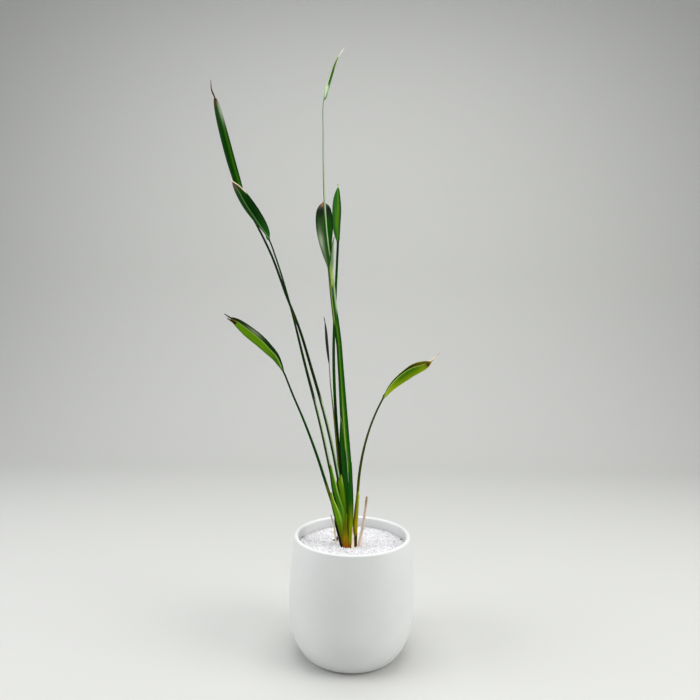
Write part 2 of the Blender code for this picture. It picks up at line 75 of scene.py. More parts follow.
# Pot, as in the CAD model
POT_HEIGHT = 0.209
POT_RADIUS = 0.110
BELLY_HEIGHT = 0.094
SIDE_ARC = 0.810  # radius, as with the other two arcs
SIDE_BOTTOM = 0.069  # height where the side meets the hip
HIP_ARC = 0.108
HEEL_ARC = 0.0144
WALL = 0.0075
LIP_START = POT_HEIGHT - WALL / 2
DRAIN_HOLES = 3
DRAIN_HOLE_RADIUS = 0.005
DRAIN_RING_RADIUS = 0.040
POT_SEGMENTS = 160

# Filling, as in the CAD model
WALL_GAP = 0.0005
GRAVEL_TOP = 0.1885
GRAVEL_DEPTH = 0.022
FOOT_BOTTOM = 0.150
FOOT_TOP = 0.193

# Gravel grains
GRAIN_PITCH = 0.0031
ROW_PITCH = GRAIN_PITCH * 0.866  # every second row is shifted by half a grain
GRAIN_SIZES = (0.0012, 0.0021)  # half sizes
LAYER_LIFT = (-0.0006, 0.0004)  # over the gravel's level
LOOSE_GRAINS = 900
LOOSE_LIFT = (0.0008, 0.0014)
HEAP_PLACE = (-0.0235, -0.0200)  # where the gravel is heaped against the leaves' feet
HEAP_SIZE = (0.0055, 0.0065)  # height and spread
BED_DROP = 0.0010  # how far the bed lies below the level of the grains
BED_RINGS = 44
BED_SEGMENTS = 128

# Leaves
SKIN = 0.00030  # half thickness of a blade near its midrib
SKIN_EDGE = 0.00016
RIB = 0.0012  # how far the rib stands below the blade at the neck
RIB_WIDTH = 0.0011
GROOVE = 0.00022  # depth, above the rib
ROLLED_DEPTH = 0.75  # depth over width of a dry point, which is rolled up
EDGE = 0.00035  # least half depth of a stalk
STALK_DEPTH = 0.78  # over its width
CHANNEL = 0.45  # depth over the stalk's half depth
CHANNEL_WIDTH = 0.55  # over the stalk's half width
RECURVE = 0.10  # how far a blade's edges bend down, over its half width
TWIST_START = 0.4  # the share of the way to the neck where a stalk begins to turn
BLADE_START = 0.10  # the share of a blade over which it comes out of the round stalk
OPENING = 0.4  # how closely the fold follows the blade's width
NECK_FADE = 4  # how soon the neck's own width runs out along the blade
WAVES = 1.6  # along a blade
CREASE = 0.0006  # how softly the blade folds at its midrib
STALK_STEP = 0.003  # between two rings
BLADE_STEP = 0.0009
SHEET_STEP = 0.0010
REMNANT_STEP = 0.0008
VEIN_PITCH = 0.0030  # along the midrib
VEIN_SLANT = 2.2  # how far a side vein runs forward over how far it runs out
VEIN_RISE = 0.00005
BASE_FADE = (0.250, 0.200)  # heights between which a stalk takes on the colour of its base
RUST_FADE = (0.208, 0.188)  # heights between which it turns rusty

# Sheaths
SHEET_EDGE = 0.00025  # thickness at the edges
SHEET_SWELL = 0.0003  # how much thicker the middle is
SHEET_MIN_HALF = 0.0003  # half width where the outline runs out in a point
WRAP_HALF = 0.003  # half width from which a sheath is wrapped in full
SUNK_BELOW = FOOT_TOP + 0.015  # a sheath that ends lower than this is led into the gravel
SUNK_TO = GRAVEL_TOP - 0.003

# Widths and lengths of the streaks in a skin
LEAF_GRAIN = (0.0012, 0.030)
DRY_GRAIN = (0.0008, 0.020)
CRUMB_GRAIN = (0.0006, 0.0060)

# Places across a section, from -1 at its left edge to 1
HALF_STATIONS = np.array([0.02, 0.045, 0.075, 0.11, 0.16, *np.linspace(0.23, 0.93, 8), 0.975, 1.0])
FLAT_STATIONS = np.concatenate([-HALF_STATIONS[::-1], [0.0], HALF_STATIONS])
ROUND_STATIONS = np.sin(np.linspace(-math.pi / 2, math.pi / 2, len(FLAT_STATIONS)))
SHEET_STATIONS = np.sin(np.linspace(-math.pi / 2, math.pi / 2, 19))


def colour(red, green, blue):
    """A linear colour from 8-bit sRGB values."""
    values = np.array([red, green, blue]) / 255
    return np.where(values <= 0.04045, values / 12.92, ((values + 0.055) / 1.055) ** 2.4)


DEEP = colour(4, 22, 0)
DARK = colour(6, 54, 0)
GREEN = colour(12, 78, 0)
LEAF = colour(24, 98, 0)
FRESH = colour(62, 124, 4)
BRIGHT = colour(104, 158, 0)
YELLOW_GREEN = colour(154, 174, 6)
LIME = colour(184, 214, 96)
MINT = colour(202, 230, 178)
SAGE = colour(66, 108, 50)
GREY_GREEN = colour(126, 156, 106)
PALE_GREEN = colour(204, 218, 184)
OLIVE = colour(98, 104, 2)
MUSTARD = colour(164, 142, 2)
RUST = colour(170, 86, 6)
BROWN = colour(96, 40, 16)
DARK_BROWN = colour(34, 14, 6)
GREY_BROWN = colour(92, 70, 62)
TAN = colour(166, 140, 98)
STRAW = colour(214, 188, 148)
CREAM = colour(252, 236, 202)
IVORY = colour(246, 248, 230)
PINK_STRAW = colour(226, 198, 178)


class Leaf(NamedTuple):
    """One leaf. Its route runs from the foot to the tip of the blade's dry point, as in the CAD model."""

    name: str
    foot: tuple  # x, y
    route: tuple  # the points above the foot
    neck: int  # the point of the route where the stalk becomes the blade
    stalk: tuple  # half widths at the foot, at the sheath's end and at the neck
    sheath: float  # height where the sheath ends
    blade: float  # widest half width
    powers: tuple  # of the outline at the blade's base and at its tip
    facing: tuple  # azimuth of the upper face at the neck and at the tip
    fold: float  # degrees by which each half of the blade is raised
    dry: float  # the share of the blade's length that is its dry point
    wave: float  # how far the edges wave, over the half width


LEAVES = (
    Leaf(
        "leaf_tall_left", foot=(-0.0130, -0.0090),
        route=(
            (-0.0145, -0.0092, 0.240), (-0.0252, -0.0094, 0.307), (-0.0462, -0.0080, 0.403),
            (-0.0740, -0.0040, 0.498), (-0.0995, 0.0000, 0.577), (-0.1191, 0.0042, 0.624),
            (-0.1480, 0.0100, 0.698), (-0.1740, 0.0145, 0.749), (-0.1941, 0.0185, 0.783),
            (-0.2159, 0.0245, 0.841), (-0.2325, 0.0310, 0.897), (-0.2480, 0.0390, 0.955),
            (-0.2532, 0.0420, 0.974), (-0.2589, 0.0445, 0.987), (-0.2614, 0.0480, 1.006),
        ),
        neck=8, stalk=(0.0030, 0.0034, 0.0016), sheath=0.33, blade=0.0108, powers=(0.50, 0.50),
        facing=(20, 8), fold=48, dry=0.15, wave=0.03,
    ),
    Leaf(
        "leaf_left", foot=(-0.0117, -0.0135),
        route=(
            (-0.0180, -0.0140, 0.240), (-0.0352, -0.0148, 0.308), (-0.0574, -0.0165, 0.405),
            (-0.0856, -0.0212, 0.512), (-0.1099, -0.0284, 0.608), (-0.1332, -0.0375, 0.686),
            (-0.1438, -0.0420, 0.715), (-0.1676, -0.0487, 0.751), (-0.1826, -0.0535, 0.774),
            (-0.1949, -0.0565, 0.796), (-0.2056, -0.0600, 0.813),
        ),
        neck=6, stalk=(0.0030, 0.0034, 0.0015), sheath=0.335, blade=0.0150, powers=(0.68, 0.80),
        facing=(72, 20), fold=38, dry=0.05, wave=0.04,
    ),
    Leaf(
        "leaf_tallest", foot=(-0.0040, -0.0135),
        route=(
            (-0.0036, -0.0136, 0.250), (-0.0047, -0.0138, 0.308), (-0.0122, -0.0146, 0.395),
            (-0.0222, -0.0162, 0.505), (-0.0255, -0.0166, 0.543), (-0.0353, -0.0152, 0.616),
            (-0.0397, -0.0150, 0.655), (-0.0426, -0.0150, 0.679), (-0.0471, -0.0155, 0.703),
            (-0.0503, -0.0160, 0.726), (-0.0547, -0.0190, 0.784), (-0.0577, -0.0280, 0.900),
            (-0.0578, -0.0330, 0.943), (-0.0545, -0.0350, 0.964), (-0.0487, -0.0366, 0.985),
            (-0.0409, -0.0380, 1.004), (-0.0326, -0.0392, 1.017), (-0.0246, -0.0400, 1.029),
        ),
        neck=12, stalk=(0.0030, 0.0044, 0.0014), sheath=0.40, blade=0.0125, powers=(0.60, 0.90),
        facing=(85, 90), fold=20, dry=0.12, wave=0.03,
    ),
    Leaf(
        "leaf_oval", foot=(-0.0060, -0.0070),
        route=(
            (-0.0075, -0.0070, 0.240), (-0.0119, -0.0071, 0.308), (-0.0194, -0.0075, 0.396),
            (-0.0266, -0.0090, 0.505), (-0.0297, -0.0098, 0.543), (-0.0363, -0.0106, 0.586),
            (-0.0416, -0.0112, 0.627), (-0.0460, -0.0116, 0.668), (-0.0508, -0.0118, 0.704),
            (-0.0528, -0.0120, 0.726), (-0.0546, -0.0116, 0.752), (-0.0566, -0.0070, 0.774),
            (-0.0589, 0.0040, 0.789),
        ),
        neck=7, stalk=(0.0030, 0.0044, 0.0020), sheath=0.40, blade=0.0155, powers=(1.25, 0.62), facing=(0, 0),
        fold=14, dry=0.03, wave=0.05,
    ),
    Leaf(
        "leaf_upright", foot=(-0.0068, -0.0015),
        route=(
            (-0.0108, 0.0002, 0.234), (-0.0154, 0.0010, 0.270), (-0.0215, 0.0014, 0.320),
            (-0.0293, 0.0020, 0.393), (-0.0345, 0.0026, 0.463), (-0.0370, 0.0036, 0.542),
            (-0.0358, 0.0060, 0.602), (-0.0332, 0.0110, 0.686), (-0.0322, 0.0140, 0.719),
            (-0.0330, 0.0190, 0.768), (-0.0340, 0.0240, 0.795), (-0.0336, 0.0300, 0.824),
        ),
        neck=8, stalk=(0.0030, 0.0027, 0.0025), sheath=0.315, blade=0.0147, powers=(0.70, 0.75),
        facing=(-60, -50), fold=18, dry=0.05, wave=0.04,
    ),
    Leaf(
        "leaf_young", foot=(-0.0134, -0.0037),
        route=(
            (-0.0150, -0.0038, 0.240), (-0.0190, -0.0038, 0.272), (-0.0245, -0.0036, 0.320),
            (-0.0323, -0.0044, 0.394), (-0.0368, -0.0062, 0.436), (-0.0416, -0.0080, 0.477),
            (-0.0438, -0.0098, 0.506), (-0.0466, -0.0132, 0.546), (-0.0488, -0.0158, 0.568),
            (-0.0538, -0.0200, 0.591),
        ),
        neck=6, stalk=(0.0028, 0.0020, 0.0011), sheath=0.30, blade=0.0075, powers=(0.70, 0.60),
        facing=(-77, -73), fold=28, dry=0.10, wave=0.0,
    ),
    Leaf(
        "leaf_low_left", foot=(-0.0183, -0.0135),
        route=(
            (-0.0252, -0.0143, 0.234), (-0.0437, -0.0165, 0.293), (-0.0621, -0.0197, 0.350),
            (-0.0880, -0.0274, 0.420), (-0.1038, -0.0336, 0.458), (-0.1197, -0.0415, 0.499),
            (-0.1312, -0.0470, 0.523), (-0.1439, -0.0540, 0.538), (-0.1559, -0.0600, 0.551),
            (-0.1728, -0.0680, 0.566), (-0.1888, -0.0750, 0.579), (-0.2102, -0.0850, 0.594),
        ),
        neck=5, stalk=(0.0030, 0.0030, 0.0016), sheath=0.30, blade=0.0112, powers=(0.70, 0.55),
        facing=(-32, -20), fold=20, dry=0.09, wave=0.06,
    ),
    Leaf(
        "leaf_right", foot=(0.0058, -0.0090),
        route=(
            (0.0079, -0.0044, 0.265), (0.0106, 0.0004, 0.312), (0.0195, 0.0071, 0.364),
            (0.0316, 0.0130, 0.404), (0.0501, 0.0195, 0.445), (0.0660, 0.0242, 0.471),
            (0.0960, 0.0289, 0.497), (0.1382, 0.0322, 0.515), (0.1531, 0.0350, 0.531),
        ),
        neck=4, stalk=(0.0029, 0.0027, 0.0018), sheath=0.30, blade=0.0145, powers=(0.80, 0.62),
        facing=(50, 42), fold=28, dry=0.17, wave=0.04,
    ),
)
LEAF_NAMED = {leaf.name: leaf for leaf in LEAVES}


class Line(NamedTuple):
    """A line of another colour along a stalk. The pale ones are painted highlights down the lit part of a
    round stalk.
    """

    low: float  # heights where it starts and ends
    high: float
    at: float  # place across the stalk, from -1 on the left to 1
    width: float  # over the half width
    colour: np.ndarray


class SheenOrMark(NamedTuple):
    """A patch of another colour on a blade: a painted highlight where the waxy skin would catch the light, or
    one of the leaf's own marks, such as its brown dry tip.
    """

    along: float  # its middle, as a share of the blade's length
    across: float  # its middle, from -1 to 1
    length: float
    width: float
    strength: float
    colour: np.ndarray


class Rim(NamedTuple):
    """A coloured edge of a blade."""

    side: int  # -1 or 1
    start: float  # shares of the blade's length
    end: float
    width: float  # in metres
    colour: np.ndarray


class Look(NamedTuple):
    """Colours of one leaf, painted shade and painted highlights among them. A stalk's sides are as seen from
    -Y, a blade's are those of its upper face.
    """

    slot: str
    stalk: np.ndarray
    # Painted shade down the stalk's left and right edges
    shaded_sides: tuple  # how dark the stalk's left and right edges are
    lines: tuple
    # The two halves differ partly in the leaf's own colour and partly by painted light and shade on the
    # folded blade
    left: tuple  # colours of the blade's left half near its base, in its middle and near its tip
    right: tuple
    under: np.ndarray
    midrib: np.ndarray
    dark_edges: tuple  # how dark the blade's left and right edges are
    tip: tuple  # colours of the dry point's left and right side
    thread: np.ndarray  # colour of the dry point's end
    thread_width: float = 0.0013
    sheath: np.ndarray = LEAF  # colour of the stalk's lower part
    sheath_tip: float = 0.300  # height where it ends
    base: np.ndarray = OLIVE  # colour just above the gravel
    before_tip: np.ndarray = MUSTARD  # what the blade's colour turns towards just below its dry point
    midrib_width: float = 0.0009
    crease: float = 0.0  # place of the midrib across the blade
    curl: tuple = (0.0, 0.0)  # degrees by which the left and the right edge turn up near the base
    curl_end: float = 0.4  # the share of the blade where that has faded
    # Patches on the blade: painted highlights and the leaf's own marks
    sheens_and_marks: tuple = ()
    rims: tuple = ()


LOOKS = {
    "leaf_tall_left": Look(
        # Painted shade on the stalk's left edge and on the blade's dark left half, which is partly its own
        # colour; painted highlights in the mint line down the stalk and in the bright and pale green patches
        # on the blade. The dark brown patch is the dry tip's own colour.
        slot="leaf_green", stalk=DARK * 0.6, shaded_sides=(1.0, 0.3),
        lines=(Line(0.30, 0.45, 0.70, 0.45, MINT), Line(0.45, 0.60, 0.75, 0.30, OLIVE * 0.4)),
        left=(DARK, DARK, DARK), right=(GREEN, GREEN, GREEN), under=GREEN, midrib=GREEN,
        dark_edges=(0.6, 1.0), tip=(DARK_BROWN, BROWN), thread=GREY_BROWN, before_tip=BROWN,
        sheens_and_marks=(
            SheenOrMark(0.28, 0.40, 0.42, 0.26, 0.95, FRESH * 1.2), SheenOrMark(0.74, 0.70, 0.09, 0.45, 0.6, PALE_GREEN),
            SheenOrMark(0.845, 0.0, 0.022, 1.5, 0.9, DARK_BROWN),
        ),
    ),
    "leaf_left": Look(
        # Painted shade on the stalk's left edge and a painted highlight in the mint line down its right side
        slot="leaf_green", stalk=DARK * 0.7, shaded_sides=(1.0, 0.2),
        lines=(Line(0.32, 0.45, 0.70, 0.45, MINT), Line(0.45, 0.72, 0.75, 0.30, OLIVE * 0.4)),
        sheath_tip=0.330, left=(GREEN, DARK, DARK), right=(GREEN, DARK, GREEN), under=DARK, midrib=GREY_GREEN,
        dark_edges=(0.9, 0.6), tip=(GREY_BROWN, BROWN), thread=CREAM, thread_width=0.0011,
        before_tip=GREY_BROWN, sheens_and_marks=(SheenOrMark(0.92, 0.0, 0.09, 2.0, 0.95, GREY_BROWN),),
        rims=(Rim(1, 0.70, 1.0, 0.0017, CREAM),),
    ),
    "leaf_tallest": Look(
        # Painted shade on the stalk's edges and painted highlights in its pale lines; the mint patch near the
        # neck is a painted highlight where the blade folds.
        slot="leaf_green", stalk=LEAF, shaded_sides=(0.7, 0.9),
        lines=(
            Line(0.30, 0.58, -0.85, 0.40, BRIGHT), Line(0.60, 0.76, 0.55, 0.45, MINT),
            Line(0.76, 0.95, 0.30, 0.60, PALE_GREEN),
        ),
        sheath_tip=0.360, base=YELLOW_GREEN, left=(GREY_GREEN, FRESH, LIME), right=(GREY_GREEN, FRESH, LIME),
        under=PALE_GREEN, midrib=SAGE, dark_edges=(0.0, 0.3), tip=(IVORY, IVORY), thread=IVORY,
        before_tip=LIME, midrib_width=0.0012, curl=(50.0, 20.0), curl_end=2.2,
        sheens_and_marks=(
            SheenOrMark(0.24, 0.0, 0.07, 2.0, 0.6, MINT), SheenOrMark(0.66, -0.10, 0.14, 0.18, 0.8, SAGE),
            SheenOrMark(0.07, 0.0, 0.035, 1.0, 0.7, DARK), SheenOrMark(0.88, 0.0, 0.05, 3.0, 1.0, IVORY),
        ),
        rims=(Rim(-1, 0.25, 0.80, 0.0034, DARK),),
    ),
    "leaf_oval": Look(
        # Painted shade on the stalk's edges and painted highlights in its lime lines; the pale green patch
        # low on the blade's left is painted gloss. The rust patch is the dry tip's own colour.
        slot="leaf_dark_green", stalk=LEAF, shaded_sides=(0.9, 0.7),
        lines=(Line(0.36, 0.57, 0.90, 0.35, LIME), Line(0.58, 0.68, 0.10, 0.50, LIME)), sheath_tip=0.400,
        left=(GREY_GREEN, SAGE, DEEP), right=(FRESH, LEAF, DEEP), under=DARK, midrib=LEAF,
        dark_edges=(1.0, 1.0), tip=(BROWN, DARK_BROWN), thread=BROWN, before_tip=DEEP, curl=(0.0, 60.0),
        curl_end=1.3,
        sheens_and_marks=(
            SheenOrMark(0.41, -0.60, 0.13, 0.35, 0.75, PALE_GREEN), SheenOrMark(0.94, -0.2, 0.035, 0.40, 0.8, RUST),
        ),
        thread_width=0.0008,
    ),
    "leaf_upright": Look(
        # Painted shade on the stalk's edges; the two bright green patches on the blade are painted
        # highlights.
        slot="leaf_bright_green", stalk=DARK, shaded_sides=(0.6, 0.6),
        lines=(Line(0.44, 0.66, 0.1, 0.35, LEAF),), sheath=DARK, sheath_tip=0.340, left=(LEAF, LEAF, LEAF),
        right=(LEAF, LEAF, LEAF), under=LEAF, midrib=BRIGHT, dark_edges=(0.3, 1.0), tip=(PALE_GREEN, LIME),
        thread=BROWN, before_tip=FRESH,
        sheens_and_marks=(
            SheenOrMark(0.35, -0.25, 0.25, 0.20, 0.6, BRIGHT), SheenOrMark(0.55, 0.35, 0.30, 0.22, 0.6, BRIGHT),
        ),
    ),
    "leaf_young": Look(
        # Painted shade on the stalk's edges
        slot="leaf_dark_green", stalk=OLIVE, shaded_sides=(0.3, 0.3),
        lines=(Line(0.45, 0.53, 0.0, 0.60, GREY_GREEN),), sheath_tip=0.330, left=(DARK, DEEP, DEEP),
        right=(DEEP, DEEP, DEEP), under=DEEP, midrib=DARK, dark_edges=(0.0, 0.9), tip=(DEEP, DEEP),
        thread=DARK, thread_width=0.0014, before_tip=DEEP,
    ),
    "leaf_low_left": Look(
        # Painted shade on the stalk's left edge; the blade's bright left half and dark right half are partly
        # painted light and shade, and the pale green patch is a painted highlight. The dark brown patch is
        # the dry tip's own colour.
        slot="leaf_bright_green", stalk=DARK, shaded_sides=(0.8, 0.3),
        lines=(Line(0.28, 0.44, 0.70, 0.30, LEAF),), sheath=OLIVE, left=(FRESH, BRIGHT, BRIGHT),
        right=(DARK, DARK, DARK), under=FRESH, midrib=LIME, dark_edges=(0.5, 0.7), tip=(BROWN, DARK_BROWN),
        thread=DARK_BROWN, thread_width=0.0014, before_tip=BROWN, midrib_width=0.0010, crease=0.15,
        sheens_and_marks=(
            SheenOrMark(0.60, 0.50, 0.10, 0.28, 0.45, PALE_GREEN), SheenOrMark(0.88, 0.6, 0.05, 0.9, 0.9, DARK_BROWN),
        ),
    ),
    "leaf_right": Look(
        # Painted shade on the stalk's edges and a painted highlight in the yellow-green line down its right
        # side; the dark brown line in its middle and the brown patch at the tip are its own colour.
        slot="leaf_yellow_green", stalk=(OLIVE + DARK) * 0.35, shaded_sides=(0.5, 0.3),
        lines=(
            Line(0.20, 0.29, 0.80, 0.35, YELLOW_GREEN), Line(0.15, 0.216, 0.0, 2.5, DARK_BROWN),
        ),
        sheath=OLIVE * 0.6, base=MUSTARD, left=(DARK, DEEP, OLIVE), right=(YELLOW_GREEN, FRESH, YELLOW_GREEN),
        under=FRESH, midrib=LIME, dark_edges=(0.0, 0.0), tip=(CREAM, BROWN), thread=PINK_STRAW,
        thread_width=0.0015, midrib_width=0.0012, crease=-0.10, curl=(50.0, 0.0), curl_end=1.6,
        sheens_and_marks=(
            SheenOrMark(0.45, 0.75, 0.35, 0.30, 0.6, YELLOW_GREEN), SheenOrMark(0.66, -0.7, 0.10, 0.40, 0.4, MUSTARD),
            SheenOrMark(0.775, 0.35, 0.040, 0.8, 1.0, BROWN * 0.6),
        ),
        rims=(
            Rim(-1, 0.30, 0.74, 0.0010, YELLOW_GREEN), Rim(-1, 0.74, 1.0, 0.0017, CREAM),
            Rim(1, 0.10, 0.74, 0.0012, YELLOW_GREEN),
        ),
    ),
}


# Helpers for shapes and colours


def step(value, start, end):
    """Rises smoothly from 0 at start to 1 at end, or falls where end is the smaller of the two."""
    t = np.clip((value - start) / (end - start), 0.0, 1.0)
    return t * t * (3 - 2 * t)


def bell(value):
    return np.exp(-(value**2))


def edge_shade(places, start, end, left, right):
    """How dark places from -1 to 1 are, with a strength for the left and for the right edge."""
    return np.maximum(step(-places, start, end) * left, step(places, start, end) * right)


def mix(first, second, share):
    """Two colours, or arrays of them, blended by a share or an array of shares."""
    share = np.asarray(share)[..., None]
    return first * (1 - share) + second * share


def running_sum(steps):
    return np.concatenate([[0.0], np.cumsum(steps)])


def around(centre, reach, angle):
    return centre[0] + reach * math.cos(angle), centre[1] + reach * math.sin(angle)


class Curve:
    """A smooth curve through points, measured by its length along their chords, as in the CAD model."""

    def __init__(self, points):
        self.points = np.array(points, float)
        steps = np.linalg.norm(np.diff(self.points, axis=0), axis=1)
        self.knots = running_sum(steps)
        chords = np.diff(self.points, axis=0) / steps[:, None]
        before, after = steps[:-1, None], steps[1:, None]
        inner = (chords[:-1] * after + chords[1:] * before) / (before + after)
        self.slopes = np.vstack([chords[:1], inner, chords[-1:]])

    def at(self, distance):
        span = int(np.clip(np.searchsorted(self.knots, distance, "right") - 1, 0, len(self.knots) - 2))
        length = self.knots[span + 1] - self.knots[span]
        t = (distance - self.knots[span]) / length
        start, end = self.points[span : span + 2]
        leave, arrive = self.slopes[span : span + 2] * length
        begun = (start * (1 + 2 * t) + leave * t) * (1 - t) ** 2
        return begun + (end * (3 - 2 * t) + arrive * (t - 1)) * t**2

    def direction(self, distance):
        reach = 0.001
        ahead = self.at(min(distance + reach, self.knots[-1])) - self.at(max(distance - reach, 0.0))
        return ahead / np.linalg.norm(ahead)


def add_object(name, data):
    made = bpy.data.objects.new(name, data)
    bpy.context.scene.collection.objects.link(made)
    return made


def add_mesh(name, vertices, faces, slot, sharp_above=None):
    mesh = bpy.data.meshes.new(name)
    mesh.from_pydata(np.asarray(vertices).tolist(), [], faces)
    mesh.materials.append(MATERIALS[slot])
    mesh.shade_smooth()
    if sharp_above:
        mesh.set_sharp_from_angle(angle=math.radians(sharp_above))
    made = add_object(name, mesh)
    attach(made, "root")
    return made


def set_attribute(piece, name, kind, values):
    """Stores one value per vertex on a piece, for its material to read."""
    made = piece.data.attributes.new(name, kind, "POINT")
    field = {"FLOAT": "value", "FLOAT_VECTOR": "vector", "FLOAT_COLOR": "color"}[kind]
    made.data.foreach_set(field, np.asarray(values, np.float32).ravel())


def set_tint(piece, tints):
    set_attribute(piece, "tint", "FLOAT_COLOR", np.hstack([tints, np.ones((len(tints), 1))]))


class Coat:
    """What a plant material reads from each vertex, ring by ring. Its number sets its streaks apart."""

    def __init__(self, grain, number):
        self.grain = grain
        self.number = number
        self.rings = []

    def add(self, tints, out, along, dry=1.0, veins=0.0):
        """One ring: its colours, the places across and along the leaf, its dryness and its veins' phase."""
        width, length = self.grain
        values = np.broadcast_arrays(out / width, along / length, 7.3 * self.number, dry, veins)
        self.rings.append(np.column_stack([np.broadcast_to(tints, (len(out), 3)), *values]))

    def put_on(self, piece):
        values = np.vstack(self.rings)
        set_tint(piece, values[:, :3])
        set_attribute(piece, "grain", "FLOAT_VECTOR", values[:, 3:6])
        set_attribute(piece, "dryness", "FLOAT", values[:, 6])
        set_attribute(piece, "vein", "FLOAT", values[:, 7])


# Materials


class Surface:
    """A material, with short ways to add nodes to it. An input takes a value, or the output that feeds it."""

    def __init__(self, name, specular):
        self.made = bpy.data.materials.new(name)
        self.made.use_nodes = True
        self.tree = self.made.node_tree
        self.shader = self.tree.nodes["Principled BSDF"]
        self.feed(self.shader, {"Specular IOR Level": specular})

    def feed(self, node, inputs):
        for key, value in inputs.items():
            if isinstance(value, bpy.types.NodeSocket):
                self.tree.links.new(value, node.inputs[key])
            else:
                node.inputs[key].default_value = value

    def finish(self, base, roughness, normal):
        self.feed(self.shader, {"Base Color": base, "Roughness": roughness, "Normal": normal})
        return self.made

    def add(self, kind, inputs, **settings):
        node = self.tree.nodes.new("ShaderNode" + kind)
        for name, value in settings.items():
            setattr(node, name, value)
        self.feed(node, inputs)
        return node

    def attribute(self, name, output="Fac"):
        return self.add("Attribute", {}, attribute_name=name).outputs[output]

    def place(self):
        return self.add("TexCoord", {}).outputs["Object"]

    def noise(self, place, scale, detail, roughness):
        inputs = {"Vector": place, "Scale": scale, "Detail": detail, "Roughness": roughness}
        return self.add("TexNoise", inputs).outputs["Fac"]

    def spread(self, value, low, high, start=0):
        """Spreads a value from start..1 to low..high."""
        inputs = {"Value": value, "From Min": start, "To Min": low, "To Max": high}
        return self.add("MapRange", inputs).outputs["Result"]

    def compute(self, operation, *values):
        return self.add("Math", dict(enumerate(values)), operation=operation).outputs["Value"]

    def wave(self, value, times):
        """A sine wave that comes back a number of times in each step of 1."""
        return self.compute("SINE", self.compute("MULTIPLY", value, times * 2 * math.pi))

    def scaled(self, tint, factor):
        return self.add("VectorMath", {0: tint, "Scale": factor}, operation="SCALE").outputs["Vector"]

    def ramp(self, value, *stops):
        """Two tones, each after the value where it is reached."""
        node = self.add("ValToRGB", {"Fac": value})
        for element, (position, tone) in zip(node.color_ramp.elements, stops):
            element.position = position
            element.color = (*tone, 1)
        return node.outputs["Color"]

    def bump(self, height, strength, distance, **more):
        inputs = {"Height": height, "Strength": strength, "Distance": distance, **more}
        return self.add("Bump", inputs).outputs["Normal"]


def plant_material(name, roughness, specular, streaks):
    """A living or dried plant surface in the piece's own tint, streaked along its grain."""
    skin = Surface(name, specular)
    streak = skin.noise(skin.attribute("grain", "Vector"), 1.0, 3.0, 0.6)
    blotch = skin.noise(skin.add("NewGeometry", {}).outputs["Position"], 55.0, 4.0, 0.6)
    vein = skin.attribute("vein")
    streak_shade = skin.spread(streak, 1 - streaks, 1 + streaks)
    shade = skin.compute("MULTIPLY", streak_shade, skin.spread(blotch, 0.86, 1.14))
    # Side veins, which are a little paler than the skin between them
    shade = skin.compute("MULTIPLY", shade, skin.spread(skin.wave(vein, 1), 0.90, 1.10, start=-1))
    base = skin.scaled(skin.attribute("tint", "Color"), shade)
    dry_rough = skin.spread(skin.attribute("dryness"), roughness, 0.85)
    rough = skin.compute("ADD", dry_rough, skin.spread(blotch, -0.06, 0.06))
    # Fine parallel veins, three to each modelled one
    fine_veins = skin.bump(skin.wave(vein, 3), 0.25, 0.00012)
    return skin.finish(base, rough, skin.bump(streak, 0.45, 0.00025, Normal=fine_veins))


def ceramic_material():
    """Matte white glaze: faint clouds in its tone and a very fine tooth."""
    glaze = Surface("white_ceramic_glaze", 0.42)
    place = glaze.place()
    clouds = glaze.noise(place, 9.0, 4.0, 0.55)
    specks = glaze.noise(place, 900.0, 2.0, 0.5)
    tone = glaze.ramp(clouds, (0.35, (0.700, 0.712, 0.702)), (0.70, (0.742, 0.748, 0.740)))
    base = glaze.scaled(tone, glaze.spread(specks, 0.97, 1.03))
    tooth = glaze.bump(specks, 0.12, 0.0002)
    swell = glaze.bump(clouds, 0.15, 0.001, Normal=tooth)
    glaze.feed(glaze.shader, {"Coat Weight": 0.12, "Coat Roughness": 0.35})
    return glaze.finish(base, glaze.spread(clouds, 0.46, 0.60), swell)


def gravel_material():
    """Crushed white stone: each grain has its own tone, and a few are cream or grey."""
    stone = Surface("white_stone_grains", 0.35)
    mineral = stone.noise(stone.place(), 620.0, 5.0, 0.65)
    base = stone.scaled(stone.attribute("tint", "Color"), stone.spread(mineral, 0.90, 1.06))
    return stone.finish(base, stone.spread(mineral, 0.55, 0.85), stone.bump(mineral, 0.4, 0.0003))


def soil_material():
    """Dark crumbly potting soil."""
    soil = Surface("potting_soil_crumbs", 0.2)
    crumbs = soil.noise(soil.place(), 260.0, 6.0, 0.7)
    tone = soil.ramp(crumbs, (0.38, (0.012, 0.008, 0.005)), (0.68, (0.075, 0.048, 0.030)))
    return soil.finish(tone, 0.95, soil.bump(crumbs, 0.9, 0.002))


MATERIALS = {
    "leaf_green": plant_material("leaf_green_skin", 0.40, 0.07, 0.22),
    "leaf_dark_green": plant_material("leaf_dark_green_skin", 0.34, 0.10, 0.20),
    "leaf_bright_green": plant_material("leaf_bright_green_skin", 0.42, 0.07, 0.22),
    "leaf_yellow_green": plant_material("leaf_yellow_green_skin", 0.44, 0.06, 0.26),
    "dry_sheath": plant_material("dry_sheath_fibre", 0.70, 0.15, 0.35),
    "white_ceramic": ceramic_material(),
    "white_gravel": gravel_material(),
    "potting_soil": soil_material(),
}

# Pot, whose outline is three arcs that run smoothly into each other, with centres as (radius, height)

